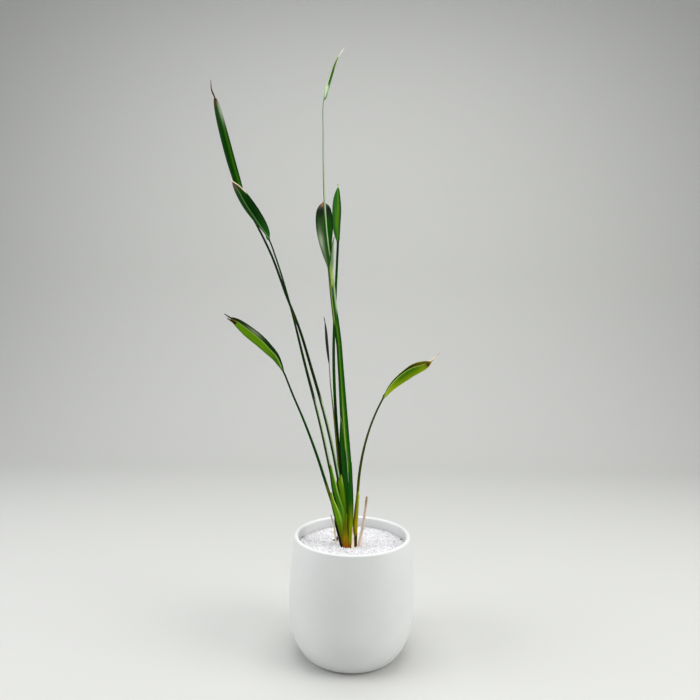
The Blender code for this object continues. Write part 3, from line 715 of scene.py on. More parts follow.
SIDE_CENTRE = (POT_RADIUS - SIDE_ARC, BELLY_HEIGHT)
HIP_END = -math.asin((BELLY_HEIGHT - SIDE_BOTTOM) / SIDE_ARC)
HIP_CENTRE = around(SIDE_CENTRE, SIDE_ARC - HIP_ARC, HIP_END)
HEEL_END = -math.asin((HIP_CENTRE[1] - HEEL_ARC) / (HIP_ARC - HEEL_ARC))
HEEL_CENTRE = (HIP_CENTRE[0] + (HIP_ARC - HEEL_ARC) * math.cos(HEEL_END), HEEL_ARC)


def pot_outline(inset, *arc_steps):
    """(radius, height) up the pot's outside moved inwards by inset, with a number of steps for each arc."""
    side_end = math.asin((LIP_START - BELLY_HEIGHT) / (SIDE_ARC - inset))
    arcs = (
        (HEEL_CENTRE, HEEL_ARC, -math.pi / 2, HEEL_END),
        (HIP_CENTRE, HIP_ARC, HEEL_END, HIP_END),
        (SIDE_CENTRE, SIDE_ARC, HIP_END, side_end),
    )
    points = []
    for (centre, arc, start, end), steps in zip(arcs, arc_steps):
        first = 1 if points else 0
        points += [around(centre, arc - inset, angle) for angle in np.linspace(start, end, steps + 1)[first:]]
    return points


def filling_radius(height):
    """Radius of the filling at a height above the hip, just clear of the wall."""
    arc = SIDE_ARC - WALL - WALL_GAP
    return SIDE_CENTRE[0] + math.sqrt(arc**2 - (height - BELLY_HEIGHT) ** 2)


def ring_of(radius, height, count):
    turns = np.linspace(0, 2 * math.pi, count, endpoint=False)
    return [(*around((0, 0), radius, turn), height) for turn in turns]


def band(low, high, count):
    """Quads between two closed rings of points, from the number of each ring's first point."""
    return [(low + i, low + (i + 1) % count, high + (i + 1) % count, high + i) for i in range(count)]


def make_pot():
    """The pot, turned from the CAD outline in fine steps, with its drain holes."""
    outside = pot_outline(0, 12, 22, 40)
    inside = pot_outline(WALL, 8, 16, 34)
    lip_radius = (outside[-1][0] + inside[-1][0]) / 2
    lip_half = (outside[-1][0] - inside[-1][0]) / 2
    lip = [
        (lip_radius + lip_half * math.cos(angle), LIP_START + WALL / 2 * math.sin(angle))
        for angle in np.linspace(0, math.pi, 18)[1:-1]
    ]
    vertices = []
    for radius, height in outside + lip + inside[::-1]:
        vertices += ring_of(radius, height, POT_SEGMENTS)
    last = len(vertices) - POT_SEGMENTS
    faces = [tuple(reversed(range(POT_SEGMENTS))), tuple(range(last, len(vertices)))]
    for low in range(0, last, POT_SEGMENTS):
        faces += band(low, low + POT_SEGMENTS, POT_SEGMENTS)
    pot = add_mesh("pot_detailed", vertices, faces, "white_ceramic")
    drill_drains(pot)
    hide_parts("pot")


def drill_drains(pot):
    radii = {"radius1": DRAIN_HOLE_RADIUS, "radius2": DRAIN_HOLE_RADIUS}
    drill = bmesh.new()
    for i in range(DRAIN_HOLES):
        turn = 2 * math.pi * i / DRAIN_HOLES + math.pi / 2
        place = Matrix.Translation(Vector((math.cos(turn), math.sin(turn), 0)) * DRAIN_RING_RADIUS)
        bmesh.ops.create_cone(drill, cap_ends=True, segments=32, depth=4 * WALL, matrix=place, **radii)
    mesh = bpy.data.meshes.new("drain_cutter")
    drill.to_mesh(mesh)
    drill.free()
    cutter = add_object("drain_cutter", mesh)
    modifier = pot.modifiers.new("drains", "BOOLEAN")
    modifier.operation = "DIFFERENCE"
    modifier.solver = "EXACT"
    modifier.object = cutter
    graph = bpy.context.evaluated_depsgraph_get()
    drilled = bpy.data.meshes.new_from_object(pot.evaluated_get(graph))
    pot.modifiers.clear()
    pot.data = drilled
    drilled.shade_smooth()
    drilled.set_sharp_from_angle(angle=math.radians(50))
    bpy.data.objects.remove(cutter, do_unlink=True)


# Gravel


def relief(x, y):
    """Height of the gravel's gentle mounds and of its heap over its level."""
    rise, spread = HEAP_SIZE
    away = math.hypot(x - HEAP_PLACE[0], y - HEAP_PLACE[1]) / spread
    mounds = 0.0006 * math.sin(61 * x + 1.3) * math.cos(47 * y - 0.4) + 0.0004 * math.sin(120 * x - 90 * y)
    return mounds + rise * bell(away)


def ball_shape(fineness):
    """A ball as (vertices, faces)."""
    ball = bmesh.new()
    bmesh.ops.create_icosphere(ball, subdivisions=fineness, radius=1.0)
    vertices = np.array([v.co for v in ball.verts])
    faces = np.array([[v.index for v in face.verts] for face in ball.faces])
    ball.free()
    return vertices, faces


def grain_places(rng):
    """(x, y, z, half size) of every grain: a dense layer and loose grains on top of it."""
    low, high = GRAIN_SIZES
    radius = filling_radius(GRAVEL_TOP)
    feet = [(leaf.foot, leaf.stalk[0]) for leaf in LEAVES]
    feet += [(remnant.foot, remnant.half_widths[0]) for remnant in REMNANTS]
    places = []

    def add(x, y, lift, size):
        in_foot = any(math.dist((x, y), foot) < half + 0.35 * size for foot, half in feet)
        if math.hypot(x, y) <= radius - 0.7 * size and not in_foot:
            places.append((x, y, GRAVEL_TOP + relief(x, y) + lift, size))

    rows = int(radius / ROW_PITCH) + 1
    columns = int(radius / GRAIN_PITCH) + 1
    for row in range(-rows, rows + 1):
        for column in range(-columns, columns + 1):
            shift = rng.uniform(-0.3, 0.3, 2) * GRAIN_PITCH
            size = rng.uniform(low, high)
            x = (column + (row % 2) / 2) * GRAIN_PITCH + shift[0]
            add(x, row * ROW_PITCH + shift[1], rng.uniform(*LAYER_LIFT), size)
    for _ in range(LOOSE_GRAINS):
        turn = rng.uniform(0, 2 * math.pi)
        out = radius * math.sqrt(rng.uniform(0, 1))
        size = rng.uniform(low, 0.8 * high)
        add(*around((0, 0), out, turn), rng.uniform(*LOOSE_LIFT), size)
    return np.array(places)


def make_grains():
    """Crushed stone grains in two pieces, each grain an uneven lump."""
    rng = np.random.default_rng(11)
    ball, ball_faces = ball_shape(1)
    places = grain_places(rng)
    count = len(places)
    lumps = ball * rng.uniform(0.78, 1.12, (count, len(ball), 1))
    lumps = lumps * rng.uniform(0.70, 1.15, (count, 1, 3))
    turns = [Quaternion(row).normalized().to_matrix() for row in rng.normal(size=(count, 4))]
    lumps = np.einsum("nij,nkj->nki", np.array(turns), lumps)
    lumps = lumps * places[:, None, 3:] * np.array([1.0, 1.0, 0.85]) + places[:, None, :3]
    tints = rng.uniform(0.82, 0.95, (count, 1)) * np.array([0.985, 0.982, 1.0])
    odd = rng.uniform(0, 1, count)
    tints[odd < 0.04] *= np.array([0.96, 0.91, 0.84])
    tints[odd > 0.95] *= np.array([0.74, 0.73, 0.80])
    half = count // 2
    for name, part in (("gravel_grains_front", slice(0, half)), ("gravel_grains_back", slice(half, count))):
        some = lumps[part]
        faces = (ball_faces[None] + np.arange(len(some))[:, None, None] * len(ball)).reshape(-1, 3)
        piece = add_mesh(name, some.reshape(-1, 3), faces.tolist(), "white_gravel", sharp_above=38)
        set_tint(piece, np.repeat(tints[part], len(ball), axis=0))
        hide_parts("gravel_top_dressing")


def make_gravel_bed():
    """The closed bed below the loose grains, which is what shows between them, tinted a darker grey as
    painted shade.
    """
    level = GRAVEL_TOP - BED_DROP
    bottom = GRAVEL_TOP - GRAVEL_DEPTH
    rng = np.random.default_rng(5)
    vertices = []
    for radius in filling_radius(GRAVEL_TOP) * np.arange(1, BED_RINGS + 1) / BED_RINGS:
        for x, y, _ in ring_of(radius, 0, BED_SEGMENTS):
            vertices.append((x, y, level + relief(x, y) + rng.uniform(-0.0004, 0.0004)))
    centre = len(vertices)
    rim, under = centre - BED_SEGMENTS, centre + 1
    vertices.append((0, 0, level + relief(0, 0)))
    vertices += ring_of(filling_radius(bottom), bottom, BED_SEGMENTS)
    faces = [(centre, i, (i + 1) % BED_SEGMENTS) for i in range(BED_SEGMENTS)]
    for low in range(0, rim, BED_SEGMENTS):
        faces += [(a, d, c, b) for a, b, c, d in band(low, low + BED_SEGMENTS, BED_SEGMENTS)]
    faces += band(under, rim, BED_SEGMENTS)
    faces.append(tuple(reversed(range(under, under + BED_SEGMENTS))))
    piece = add_mesh("gravel_bed", vertices, faces, "white_gravel")
    # A darker, slightly bluish grey than the grains: painted shade in the gaps between them
    set_tint(piece, np.tile([0.72, 0.72, 0.74], (len(vertices), 1)))
    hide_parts("gravel_top_dressing")


# Everything that grows is lofted over rings, each a top row of points from left to right and a bottom row


def stalk_section(half_width, depth):
    """(across, up) points of a stalk's ring: round below, with a soft channel on top."""
    half_depth = np.maximum(half_width * depth * np.sqrt(np.maximum(1 - ROUND_STATIONS**2, 0)), EDGE)
    hollow = 0.5 + 0.5 * np.cos(math.pi * np.minimum(np.abs(ROUND_STATIONS) / CHANNEL_WIDTH, 1))
    up = np.concatenate([half_depth * (1 - CHANNEL * hollow), -half_depth])
    return np.column_stack([np.tile(ROUND_STATIONS, 2) * half_width, up])


def blade_section(half_width, crease, fold, curls, rib, wave, ripple):
    """(across, up) points of a thin folded blade's ring: a groove above its midrib and a rib below."""
    across, up, lean, out = np.zeros((4, len(FLAT_STATIONS)))
    stations = np.concatenate([[0.0], HALF_STATIONS])
    for side, curl in zip((-1, 1), curls):
        reach = stations * half_width * (1 - side * crease)
        angle = fold * reach / np.sqrt(reach**2 + CREASE**2) + curl * stations**2
        steps = np.diff(reach)
        between = (angle[:-1] + angle[1:]) / 2
        order = len(HALF_STATIONS) + side * np.arange(len(stations))
        across[order] = side * running_sum(np.cos(between) * steps)
        up[order] = running_sum(np.sin(between) * steps)
        lean[order] = side * angle
        out[order] = reach
    up += (wave - RECURVE) * half_width * FLAT_STATIONS**2 + ripple
    line = np.column_stack([across + crease * half_width, up])
    normal = np.column_stack([-np.sin(lean), np.cos(lean)])
    thick = SKIN_EDGE + (SKIN - SKIN_EDGE) * (1 - FLAT_STATIONS**2)
    at_rib = bell(out / RIB_WIDTH)
    above = thick - GROOVE * at_rib * min(1.0, rib / RIB)
    below = thick + (rib - SKIN) * at_rib
    return np.vstack([line + normal * above[:, None], line - normal * below[:, None]])


def grown_curve(grown):
    """The route of a leaf or a remnant, from the lower end of its straight foot."""
    return Curve([(*grown.foot, FOOT_BOTTOM), (*grown.foot, FOOT_TOP), *grown.route])


def place_section(curve, distance, azimuth, section):
    """A ring on a curve, whose upper face looks towards an azimuth in degrees."""
    ahead = curve.direction(distance)
    turn = math.radians(azimuth)
    face = np.array([math.sin(turn), -math.cos(turn), 0.0])
    normal = face - ahead * face.dot(ahead)
    normal /= np.linalg.norm(normal)
    return curve.at(distance) + section[:, :1] * np.cross(ahead, normal) + section[:, 1:] * normal


def stand_foot(rings):
    """Turns a stalk's two lowest rings into a straight level foot."""
    for ring, height in zip(rings, (FOOT_BOTTOM, FOOT_TOP)):
        ring[:, :2] = rings[1][:, :2]
        ring[:, 2] = height


def loft_faces(ring_count, half):
    """Quads over closed rings whose rows have half of their points each, and over both ends."""
    faces = []
    for low in range(0, (ring_count - 1) * 2 * half, 2 * half):
        high = low + 2 * half
        for k in range(half - 1):
            faces.append((low + k, low + k + 1, high + k + 1, high + k))
            faces.append((low + half + k, high + half + k, high + half + k + 1, low + half + k + 1))
        faces.append((low + half - 1, high - 1, high + 2 * half - 1, high + half - 1))
        faces.append((low, high, high + half, low + half))
    last = (ring_count - 1) * 2 * half
    for k in range(half - 1):
        faces.append((k, half + k, half + k + 1, k + 1))
        faces.append((last + k, last + k + 1, last + half + k + 1, last + half + k))
    return faces


def add_grown(name, rings, coat, slot, node):
    """A piece over rings, which stands in for a CAD node."""
    piece = add_mesh(name, np.vstack(rings), loft_faces(len(rings), len(rings[0]) // 2), slot)
    coat.put_on(piece)
    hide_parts(node)


# Leaves


class Ring(NamedTuple):
    """One ring of a leaf, with what its colours depend on."""

    points: np.ndarray
    centre: np.ndarray
    half_width: float
    flatness: float  # 0 on the stalk and 1 on the blade
    share: float  # along the stalk, or along the blade
    distance: float


def stalk_half_width(leaf, height, share):
    """Half width of the stalk: a wide sheath low down, then an even taper to the neck."""
    foot, sheath_end, neck = leaf.stalk
    return (foot + (sheath_end - foot) * step(height, FOOT_TOP, leaf.sheath)) * (1 - share) + neck * share


def blade_outline(leaf, thread, share):
    """Half width of the blade at a share of its length from the neck."""
    base, tip = leaf.powers
    widest = base / (base + tip)
    body = min(share / (1 - leaf.dry), 1.0)
    shape = (body / widest) ** base * ((1 - body) / (1 - widest)) ** tip
    point = thread * (1 - 0.7 * max(0.0, share - 0.9) / 0.1)
    return math.hypot(leaf.blade * shape, point + (leaf.stalk[2] - point) * (1 - share) ** NECK_FADE)


def vein_phase(half_width, distance):
    """Which side vein each station lies on, counted along the blade."""
    return (distance - np.abs(FLAT_STATIONS) * half_width * VEIN_SLANT) / VEIN_PITCH


def vein_ripple(half_width, distance):
    """The low rise of the side veins, none at the midrib and at the edges."""
    away = np.abs(FLAT_STATIONS)
    inside = step(away, 0, 0.15) * step(away, 1, 0.9)
    return VEIN_RISE * inside * np.sin(2 * math.pi * vein_phase(half_width, distance))


def leaf_section(leaf, look, half_width, flatness, share, distance):
    """A blade's ring, which comes out of the round stalk and rolls up again in the dry point."""
    openness = (half_width / leaf.blade) ** OPENING * flatness
    curl_left = flatness * step(share, look.curl_end, 0)
    flat_part = blade_section(
        half_width,
        look.crease * openness,
        math.radians(leaf.fold) * openness,
        [math.radians(curl) * curl_left for curl in look.curl],
        SKIN + (RIB - SKIN) * (1 - share) * flatness,
        leaf.wave * math.sin(2 * math.pi * WAVES * share + leaf.fold),
        vein_ripple(half_width, distance),
    )
    round_part = stalk_section(half_width, STALK_DEPTH * min(1.0, leaf.stalk[2] / half_width))
    rolled = step(share, 1 - leaf.dry, 1 - 0.7 * leaf.dry)
    rolled_part = stalk_section(half_width, ROLLED_DEPTH)
    return round_part * (1 - flatness) + flat_part * (flatness - rolled) + rolled_part * rolled


def leaf_ring(leaf, look, curve, distance):
    straight, neck_at, end = curve.knots[[1, leaf.neck + 2, -1]]
    centre = curve.at(distance)
    if distance <= neck_at:
        azimuth = leaf.facing[0] * step(distance, TWIST_START * neck_at, neck_at)
        share = max(0.0, distance - straight) / (neck_at - straight)
        half_width = stalk_half_width(leaf, centre[2], share)
        flatness = 0.0
        section = stalk_section(half_width, STALK_DEPTH)
    else:
        share = (distance - neck_at) / (end - neck_at)
        azimuth = leaf.facing[0] + (leaf.facing[1] - leaf.facing[0]) * share
        half_width = blade_outline(leaf, look.thread_width, share)
        flatness = step(share, 0, BLADE_START)
        section = leaf_section(leaf, look, half_width, flatness, share, distance)
    points = place_section(curve, distance, azimuth, section)
    return Ring(points, centre, half_width, flatness, share, distance)


def dryness(leaf, share):
    """0 on the living blade and 1 on its dry point."""
    return step(share, 1 - leaf.dry - 0.035, 1 - leaf.dry + 0.015)


def stalk_colours(look, ring):
    """Colours round one ring of the stalk, by how far to the left or right each point lies, with painted
    shade at its edges.
    """
    side = (ring.points[:, 0] - ring.centre[0]) / ring.half_width
    height = ring.centre[2]
    in_sheath = step(height, look.sheath_tip + 0.01, look.sheath_tip - 0.01)
    body = mix(look.stalk, look.sheath, in_sheath)
    body = mix(body, look.base, step(height, *BASE_FADE))
    body = mix(body, RUST * 0.7, 0.7 * step(height, *RUST_FADE))
    # Painted shade darkens the stalk's edges as seen from the front, less on its sheath
    colours = mix(body, DEEP, edge_shade(side, 0.25, 0.85, *look.shaded_sides) * (1 - 0.35 * in_sheath))
    # Pale lines are painted highlights down the stalk
    for line in look.lines:
        shown = step(height, line.low - 0.01, line.low + 0.01)
        shown *= step(height, line.high + 0.01, line.high - 0.01)
        colours = mix(colours, line.colour, 0.85 * bell((side - line.at) / line.width) * shown)
    return colours


def blade_colours(leaf, look, ring):
    """Colours round one ring of the blade."""
    share = ring.share
    across = np.tile(FLAT_STATIONS, 2)
    on_top = np.arange(len(across)) < len(FLAT_STATIONS)
    # Halves partly in their own colours, partly in painted light and shade on the fold
    sides = []
    for near, middle, far in (look.left, look.right):
        sides.append(mix(mix(near, middle, step(share, 0.08, 0.42)), far, step(share, 0.55, 0.85)))
    halves = mix(*sides, step(across, -0.06, 0.06))
    colours = np.where(on_top[:, None], halves, mix(halves, look.under, 0.85))
    colours = mix(colours, DEEP, 0.85 * edge_shade(across, 0.72, 0.92, *look.dark_edges))
    rib = bell(across * ring.half_width / look.midrib_width)
    colours = mix(colours, look.midrib, 0.9 * rib * (1 - 0.4 * share))
    dry_from = 1 - leaf.dry
    colours = mix(colours, look.before_tip, 0.5 * step(share, dry_from - 0.10, dry_from - 0.02))
    # Painted highlights and the leaf's own marks, patch by patch
    for sheen_or_mark in look.sheens_and_marks:
        near = bell((share - sheen_or_mark.along) / sheen_or_mark.length) * bell((across - sheen_or_mark.across) / sheen_or_mark.width)
        colours = mix(colours, sheen_or_mark.colour, sheen_or_mark.strength * near)
    colours = mix(colours, mix(*look.tip, step(across, -0.3, 0.3)), dryness(leaf, share))
    for rim in look.rims:
        shown = step(share, rim.start, rim.start + 0.06) * step(share, rim.end + 0.02, rim.end)
        inwards = (1 - rim.side * across) * ring.half_width
        colours = mix(colours, rim.colour, shown * step(inwards, 1.5 * rim.width, 0.5 * rim.width))
    return mix(colours, look.thread, step(share, 1 - 0.75 * leaf.dry, 1 - 0.25 * leaf.dry))


def make_leaf(index, leaf):
    look = LOOKS[leaf.name]
    curve = grown_curve(leaf)
    straight, neck_at, end = curve.knots[[1, leaf.neck + 2, -1]]
    on_stalk = np.arange(straight, neck_at, STALK_STEP)
    on_blade = np.arange(neck_at, end - BLADE_STEP / 2, BLADE_STEP)
    rings = [leaf_ring(leaf, look, curve, distance) for distance in (0.0, *on_stalk, *on_blade, end)]
    points = [ring.points for ring in rings]
    stand_foot(points)
    coat = Coat(LEAF_GRAIN, index)
    for ring in rings:
        colours = stalk_colours(look, ring)
        dry = 0.0
        if ring.flatness:
            colours = mix(colours, blade_colours(leaf, look, ring), ring.flatness)
            dry = dryness(leaf, ring.share)
        veins = np.tile(vein_phase(ring.half_width, ring.distance), 2)
        coat.add(colours, np.tile(FLAT_STATIONS, 2) * ring.half_width, ring.distance, dry, veins)
    add_grown(leaf.name + "_detailed", points, coat, look.slot, leaf.name)


def make_prong():
    """The short dead point beside the tip of the low left leaf."""
    curve = Curve(((-0.1925, -0.0775, 0.5785), (-0.1990, -0.0800, 0.5822), (-0.2061, -0.0830, 0.5872)))
    end = curve.knots[-1]
    rings = []
    coat = Coat(DRY_GRAIN, 50)
    for distance in np.linspace(0, end, 24):
        share = distance / end
        section = stalk_section(0.0014 * (1 - share) ** 0.7 + 0.0004, 0.4)
        rings.append(place_section(curve, distance, -25.0, section))
        coat.add(mix(DARK_BROWN, BROWN, share), section[:, 0], distance)
    add_grown("leaf_low_left_prong", rings, coat, LOOKS["leaf_low_left"].slot, "leaf_low_left")


# Sheaths


class Sheath(NamedTuple):
    """A thin sheet that wraps a stalk: the flattened base of a leaf, or the rolled margin of a blade."""

    name: str
    leaf: str  # the leaf that it belongs to
    wrap: tuple  # how far its left and right edges turn back
    outline: tuple  # (height, left edge, right edge) from its tip down, from the stalk's middle
    body: np.ndarray
    low: np.ndarray  # colour at its lower end
    # Darkened edges: partly the sheath's own darker margin, partly painted shadow where a neighbouring sheath
    # overlaps it
    dark: tuple  # how dark its left and right edges are
    margin_length: float  # how far down from the tip its free right margin shows
    tip: np.ndarray
    margin: np.ndarray = LIME
    foot: np.ndarray = RUST * 0.6
    foot_top: float = 0.204  # height up to which the foot's colour shows
    forward: float = 0.0030  # how far its front stands before the stalk's middle
    stalk: str = ""  # the leaf whose stalk it follows, where that isn't its own


# Each sheath's darkened edges are partly its own darker margin and partly painted shadow from the sheath that
# overlaps it
SHEATHS = (
    Sheath(
        "sheath_right", leaf="leaf_right", wrap=(0.0022, 0.0022),
        outline=(
            (0.288, 0.0000, 0.0000), (0.281, -0.0024, 0.0030), (0.270, -0.0032, 0.0032),
            (0.245, -0.0050, 0.0029), (0.227, -0.0056, 0.0026), (0.209, -0.0034, 0.0022),
        ),
        body=(MUSTARD + YELLOW_GREEN) * 0.48, low=MUSTARD * 1.9, dark=(0.7, 0.0), margin_length=0.050,
        tip=OLIVE * 0.7, foot=DARK_BROWN, foot_top=0.247,
    ),
    Sheath(
        "sheath_oval", leaf="leaf_oval", wrap=(0.0030, 0.0012),
        outline=(
            (0.420, -0.0022, -0.0022), (0.404, -0.0041, 0.0011), (0.387, -0.0060, 0.0018),
            (0.371, -0.0070, 0.0017), (0.353, -0.0074, 0.0014), (0.337, -0.0079, 0.0017),
            (0.316, -0.0084, 0.0019), (0.282, -0.0070, 0.0019), (0.259, -0.0056, 0.0021),
            (0.235, -0.0049, 0.0021), (0.200, -0.0046, 0.0022),
        ),
        body=LEAF, low=FRESH, dark=(1.0, 0.0), margin_length=0.045, tip=YELLOW_GREEN,
    ),
    Sheath(
        "sheath_tallest", leaf="leaf_tallest", wrap=(0.0012, 0.0025),
        outline=(
            (0.341, 0.0042, 0.0042), (0.327, -0.0019, 0.0042), (0.308, -0.0034, 0.0040),
            (0.292, -0.0036, 0.0045), (0.272, -0.0036, 0.0050), (0.257, -0.0036, 0.0052),
            (0.237, -0.0034, 0.0047), (0.221, -0.0032, 0.0039), (0.203, -0.0030, 0.0027),
        ),
        body=LEAF, low=YELLOW_GREEN, dark=(0.3, 1.0), margin=DARK, margin_length=0.1, tip=DARK,
    ),
    Sheath(
        "sheath_tall_left", leaf="leaf_tall_left", wrap=(0.0030, 0.0008),
        outline=(
            (0.318, 0.0067, 0.0067), (0.311, 0.0002, 0.0073), (0.306, -0.0036, 0.0074),
            (0.291, -0.0048, 0.0077), (0.271, -0.0050, 0.0070), (0.259, -0.0056, 0.0063),
            (0.248, -0.0050, 0.0058), (0.235, -0.0040, 0.0055), (0.219, -0.0037, 0.0061),
            (0.201, -0.0034, 0.0066),
        ),
        body=BRIGHT, low=OLIVE, dark=(1.0, 0.2), margin_length=0.03, tip=YELLOW_GREEN,
    ),
    Sheath(
        "sheath_left", leaf="leaf_left", wrap=(0.0030, 0.0008),
        outline=(
            (0.339, 0.0042, 0.0042), (0.330, -0.0012, 0.0043), (0.318, -0.0030, 0.0047),
            (0.307, -0.0042, 0.0050), (0.284, -0.0064, 0.0050), (0.272, -0.0066, 0.0057),
            (0.261, -0.0066, 0.0066), (0.249, -0.0063, 0.0070), (0.237, -0.0056, 0.0058),
            (0.221, -0.0046, 0.0046), (0.202, -0.0044, 0.0034),
        ),
        body=FRESH, low=BRIGHT, dark=(1.0, 0.0), margin_length=0.110, tip=CREAM,
    ),
    Sheath(
        "sheath_low_left", leaf="leaf_low_left", forward=0.0034, wrap=(0.0036, 0.0008),
        outline=(
            (0.291, 0.0064, 0.0064), (0.284, 0.0008, 0.0056), (0.273, -0.0021, 0.0053),
            (0.261, -0.0036, 0.0070), (0.250, -0.0044, 0.0080), (0.237, -0.0050, 0.0079),
            (0.221, -0.0042, 0.0068), (0.202, -0.0028, 0.0063), (0.193, -0.0016, 0.0059),
        ),
        body=BRIGHT, low=OLIVE, dark=(1.0, 0.0), margin_length=0.085, tip=CREAM, foot=DARK_BROWN,
    ),
    Sheath(
        "sheath_dead_left", leaf="leaf_low_left", forward=0.0028, wrap=(0.0010, 0.0),
        outline=(
            (0.240, -0.0056, -0.0056), (0.230, -0.0062, -0.0036), (0.221, -0.0060, -0.0022),
            (0.211, -0.0053, -0.0010), (0.202, -0.0044, 0.0000), (0.193, -0.0032, 0.0010),
        ),
        body=DARK_BROWN, low=DARK_BROWN, dark=(0.0, 0.0), margin=DARK_BROWN, margin_length=0.02, tip=BROWN,
        foot=DARK_BROWN,
    ),
    Sheath(
        "sheath_old", leaf="leaf_tall_left", forward=0.0092, wrap=(0.0020, 0.0030),
        outline=(
            (0.251, 0.0055, 0.0055), (0.240, 0.0010, 0.0056), (0.229, -0.0030, 0.0063),
            (0.217, -0.0048, 0.0070), (0.203, -0.0050, 0.0073), (0.194, -0.0042, 0.0076),
        ),
        body=OLIVE * 1.3, low=MUSTARD, dark=(0.1, 0.8), margin=BRIGHT, margin_length=0.02, tip=YELLOW_GREEN,
        foot=RUST * 0.75, foot_top=0.216,
    ),
    Sheath(
        "blade_margin_oval", leaf="leaf_oval", stalk="leaf_tallest", forward=0.0028, wrap=(0.0, 0.0035),
        outline=(
            (0.727, 0.0126, 0.0126), (0.717, 0.0080, 0.0118), (0.711, 0.0061, 0.0108),
            (0.702, 0.0038, 0.0094), (0.694, 0.0013, 0.0076), (0.687, -0.0012, 0.0061),
            (0.680, -0.0036, 0.0045), (0.674, -0.0050, 0.0032), (0.662, -0.0050, 0.0019),
            (0.650, -0.0042, 0.0007), (0.640, -0.0027, -0.0025),
        ),
        body=GREY_GREEN, low=LIME, dark=(1.0, 0.0), margin=PALE_GREEN, margin_length=0.06, tip=DARK,
    ),
)


def stalk_middles(leaf):
    """Points up the middle of a stalk, to look its place up by height."""
    curve = grown_curve(leaf)
    return np.array([curve.at(distance) for distance in np.linspace(0, curve.knots[leaf.neck + 2], 200)])


def sheath_colours(sheath, height, down):
    """Colours across one row of a sheath, at a height and a way down from its tip, with painted shadow at its
    edges.
    """
    share = down / (sheath.outline[0][0] - sheath.outline[-1][0])
    body = mix(sheath.body, sheath.low, step(share, 0.45, 0.90))
    stripe = 0.5 + 0.5 * np.sin(9 * SHEET_STATIONS + 40 * sheath.forward)
    colours = mix(body, body * 0.45, 0.6 * stripe)
    # Painted shadow where neighbouring sheaths overlap, together with the sheath's own darker margin
    left, right = sheath.dark
    right *= 1 - 0.7 * step(share, 0.6, 0.8)
    colours = mix(colours, DEEP, 0.9 * edge_shade(SHEET_STATIONS, 0.35, 0.85, left, right))
    margin = step(down, sheath.margin_length, 0) * step(SHEET_STATIONS, 0.35, 0.75)
    colours = mix(colours, sheath.margin, 0.9 * margin)
    colours = mix(colours, sheath.tip, step(down, 0.006, 0))
    return mix(colours, sheath.foot, 0.9 * step(height, sheath.foot_top, GRAVEL_TOP))


def make_sheath(index, sheath):
    middles = stalk_middles(LEAF_NAMED[sheath.stalk or sheath.leaf])
    outline = sheath.outline
    if outline[-1][0] < SUNK_BELOW:
        outline += ((SUNK_TO, *outline[-1][1:]),)
    edges = Curve(outline[::-1])
    end = edges.knots[-1]
    rings = []
    coat = Coat(LEAF_GRAIN, 20 + index)
    for distance in np.linspace(0, end, int(end / SHEET_STEP)):
        height, left, right = edges.at(distance)
        x, y = (np.interp(height, middles[:, 2], middles[:, axis]) for axis in (0, 1))
        half = max((right - left) / 2, SHEET_MIN_HALF)
        across = x + (left + right) / 2 + half * SHEET_STATIONS
        back = np.where(SHEET_STATIONS < 0, *sheath.wrap) * SHEET_STATIONS**2 * min(1.0, half / WRAP_HALF)
        front = np.column_stack([across, y - sheath.forward + back, np.full(len(across), height)])
        rear = front.copy()
        rear[:, 1] += SHEET_EDGE + SHEET_SWELL * (1 - SHEET_STATIONS**2)
        rings.append(np.vstack([front, rear]))
        colours = np.tile(sheath_colours(sheath, height, outline[0][0] - height), (2, 1))
        out = np.tile(half * SHEET_STATIONS, 2)
        coat.add(colours, out, height, 0.0, out / VEIN_PITCH)
    add_grown(sheath.name, rings, coat, LOOKS[sheath.leaf].slot, sheath.leaf)


# Remnants of old leaves


class Remnant(NamedTuple):
    """What is left of an old leaf: a short stalk or sheath with no blade."""

    name: str
    foot: tuple  # x, y
    route: tuple
    half_widths: tuple  # at the foot and at the top
    depth: float  # depth over width
    colours: tuple  # at the foot, in the middle and at the top


REMNANTS = (
    Remnant(
        "dry_stalk_stub", foot=(0.0127, -0.0080),
        route=((0.0178, -0.0068, 0.221), (0.0220, -0.0039, 0.251), (0.0247, 0.0000, 0.276)),
        half_widths=(0.0026, 0.0017), depth=0.75, colours=(PINK_STRAW * 1.2, PINK_STRAW, TAN),
    ),
    Remnant(
        "dry_sheath_left", foot=(-0.0293, 0.0100), route=((-0.0329, 0.0100, 0.219), (-0.0383, 0.0101, 0.239)),
        half_widths=(0.0018, 0.0009), depth=0.45, colours=(CREAM, CREAM, PINK_STRAW),
    ),
    Remnant(
        "dry_sheath_middle", foot=(0.0011, -0.0178),
        route=((0.0011, -0.0178, 0.208), (0.0003, -0.0180, 0.224)), half_widths=(0.0025, 0.0009), depth=0.45,
        colours=(CREAM, CREAM, STRAW),
    ),
)


def make_remnant(index, remnant):
    curve = grown_curve(remnant)
    straight, end = curve.knots[[1, -1]]
    low, high = remnant.half_widths
    bottom, middle, top = remnant.colours
    rings = []
    coat = Coat(DRY_GRAIN, 40 + index)
    for distance in (0.0, *np.arange(straight, end, REMNANT_STEP), end):
        share = max(0.0, distance - straight) / (end - straight)
        half_width = low + (high - low) * share
        ragged = 1 + 0.10 * math.sin(23 * share + index) * share
        rings.append(place_section(curve, distance, 0.0, stalk_section(half_width * ragged, remnant.depth)))
        body = mix(mix(bottom, middle, step(share, 0, 0.35)), top, step(share, 0.60, 0.95))
        coat.add(body, np.tile(ROUND_STATIONS, 2) * half_width, distance)
    stand_foot(rings)
    add_grown(remnant.name + "_detailed", rings, coat, "dry_sheath", remnant.name)


class Fleck(NamedTuple):
    """A dry crumb that lies on the gravel."""

    place: tuple  # x, y and its height over the gravel
    size: tuple  # half sizes along, across and up
    turn: float  # degrees from +X
    colour: np.ndarray


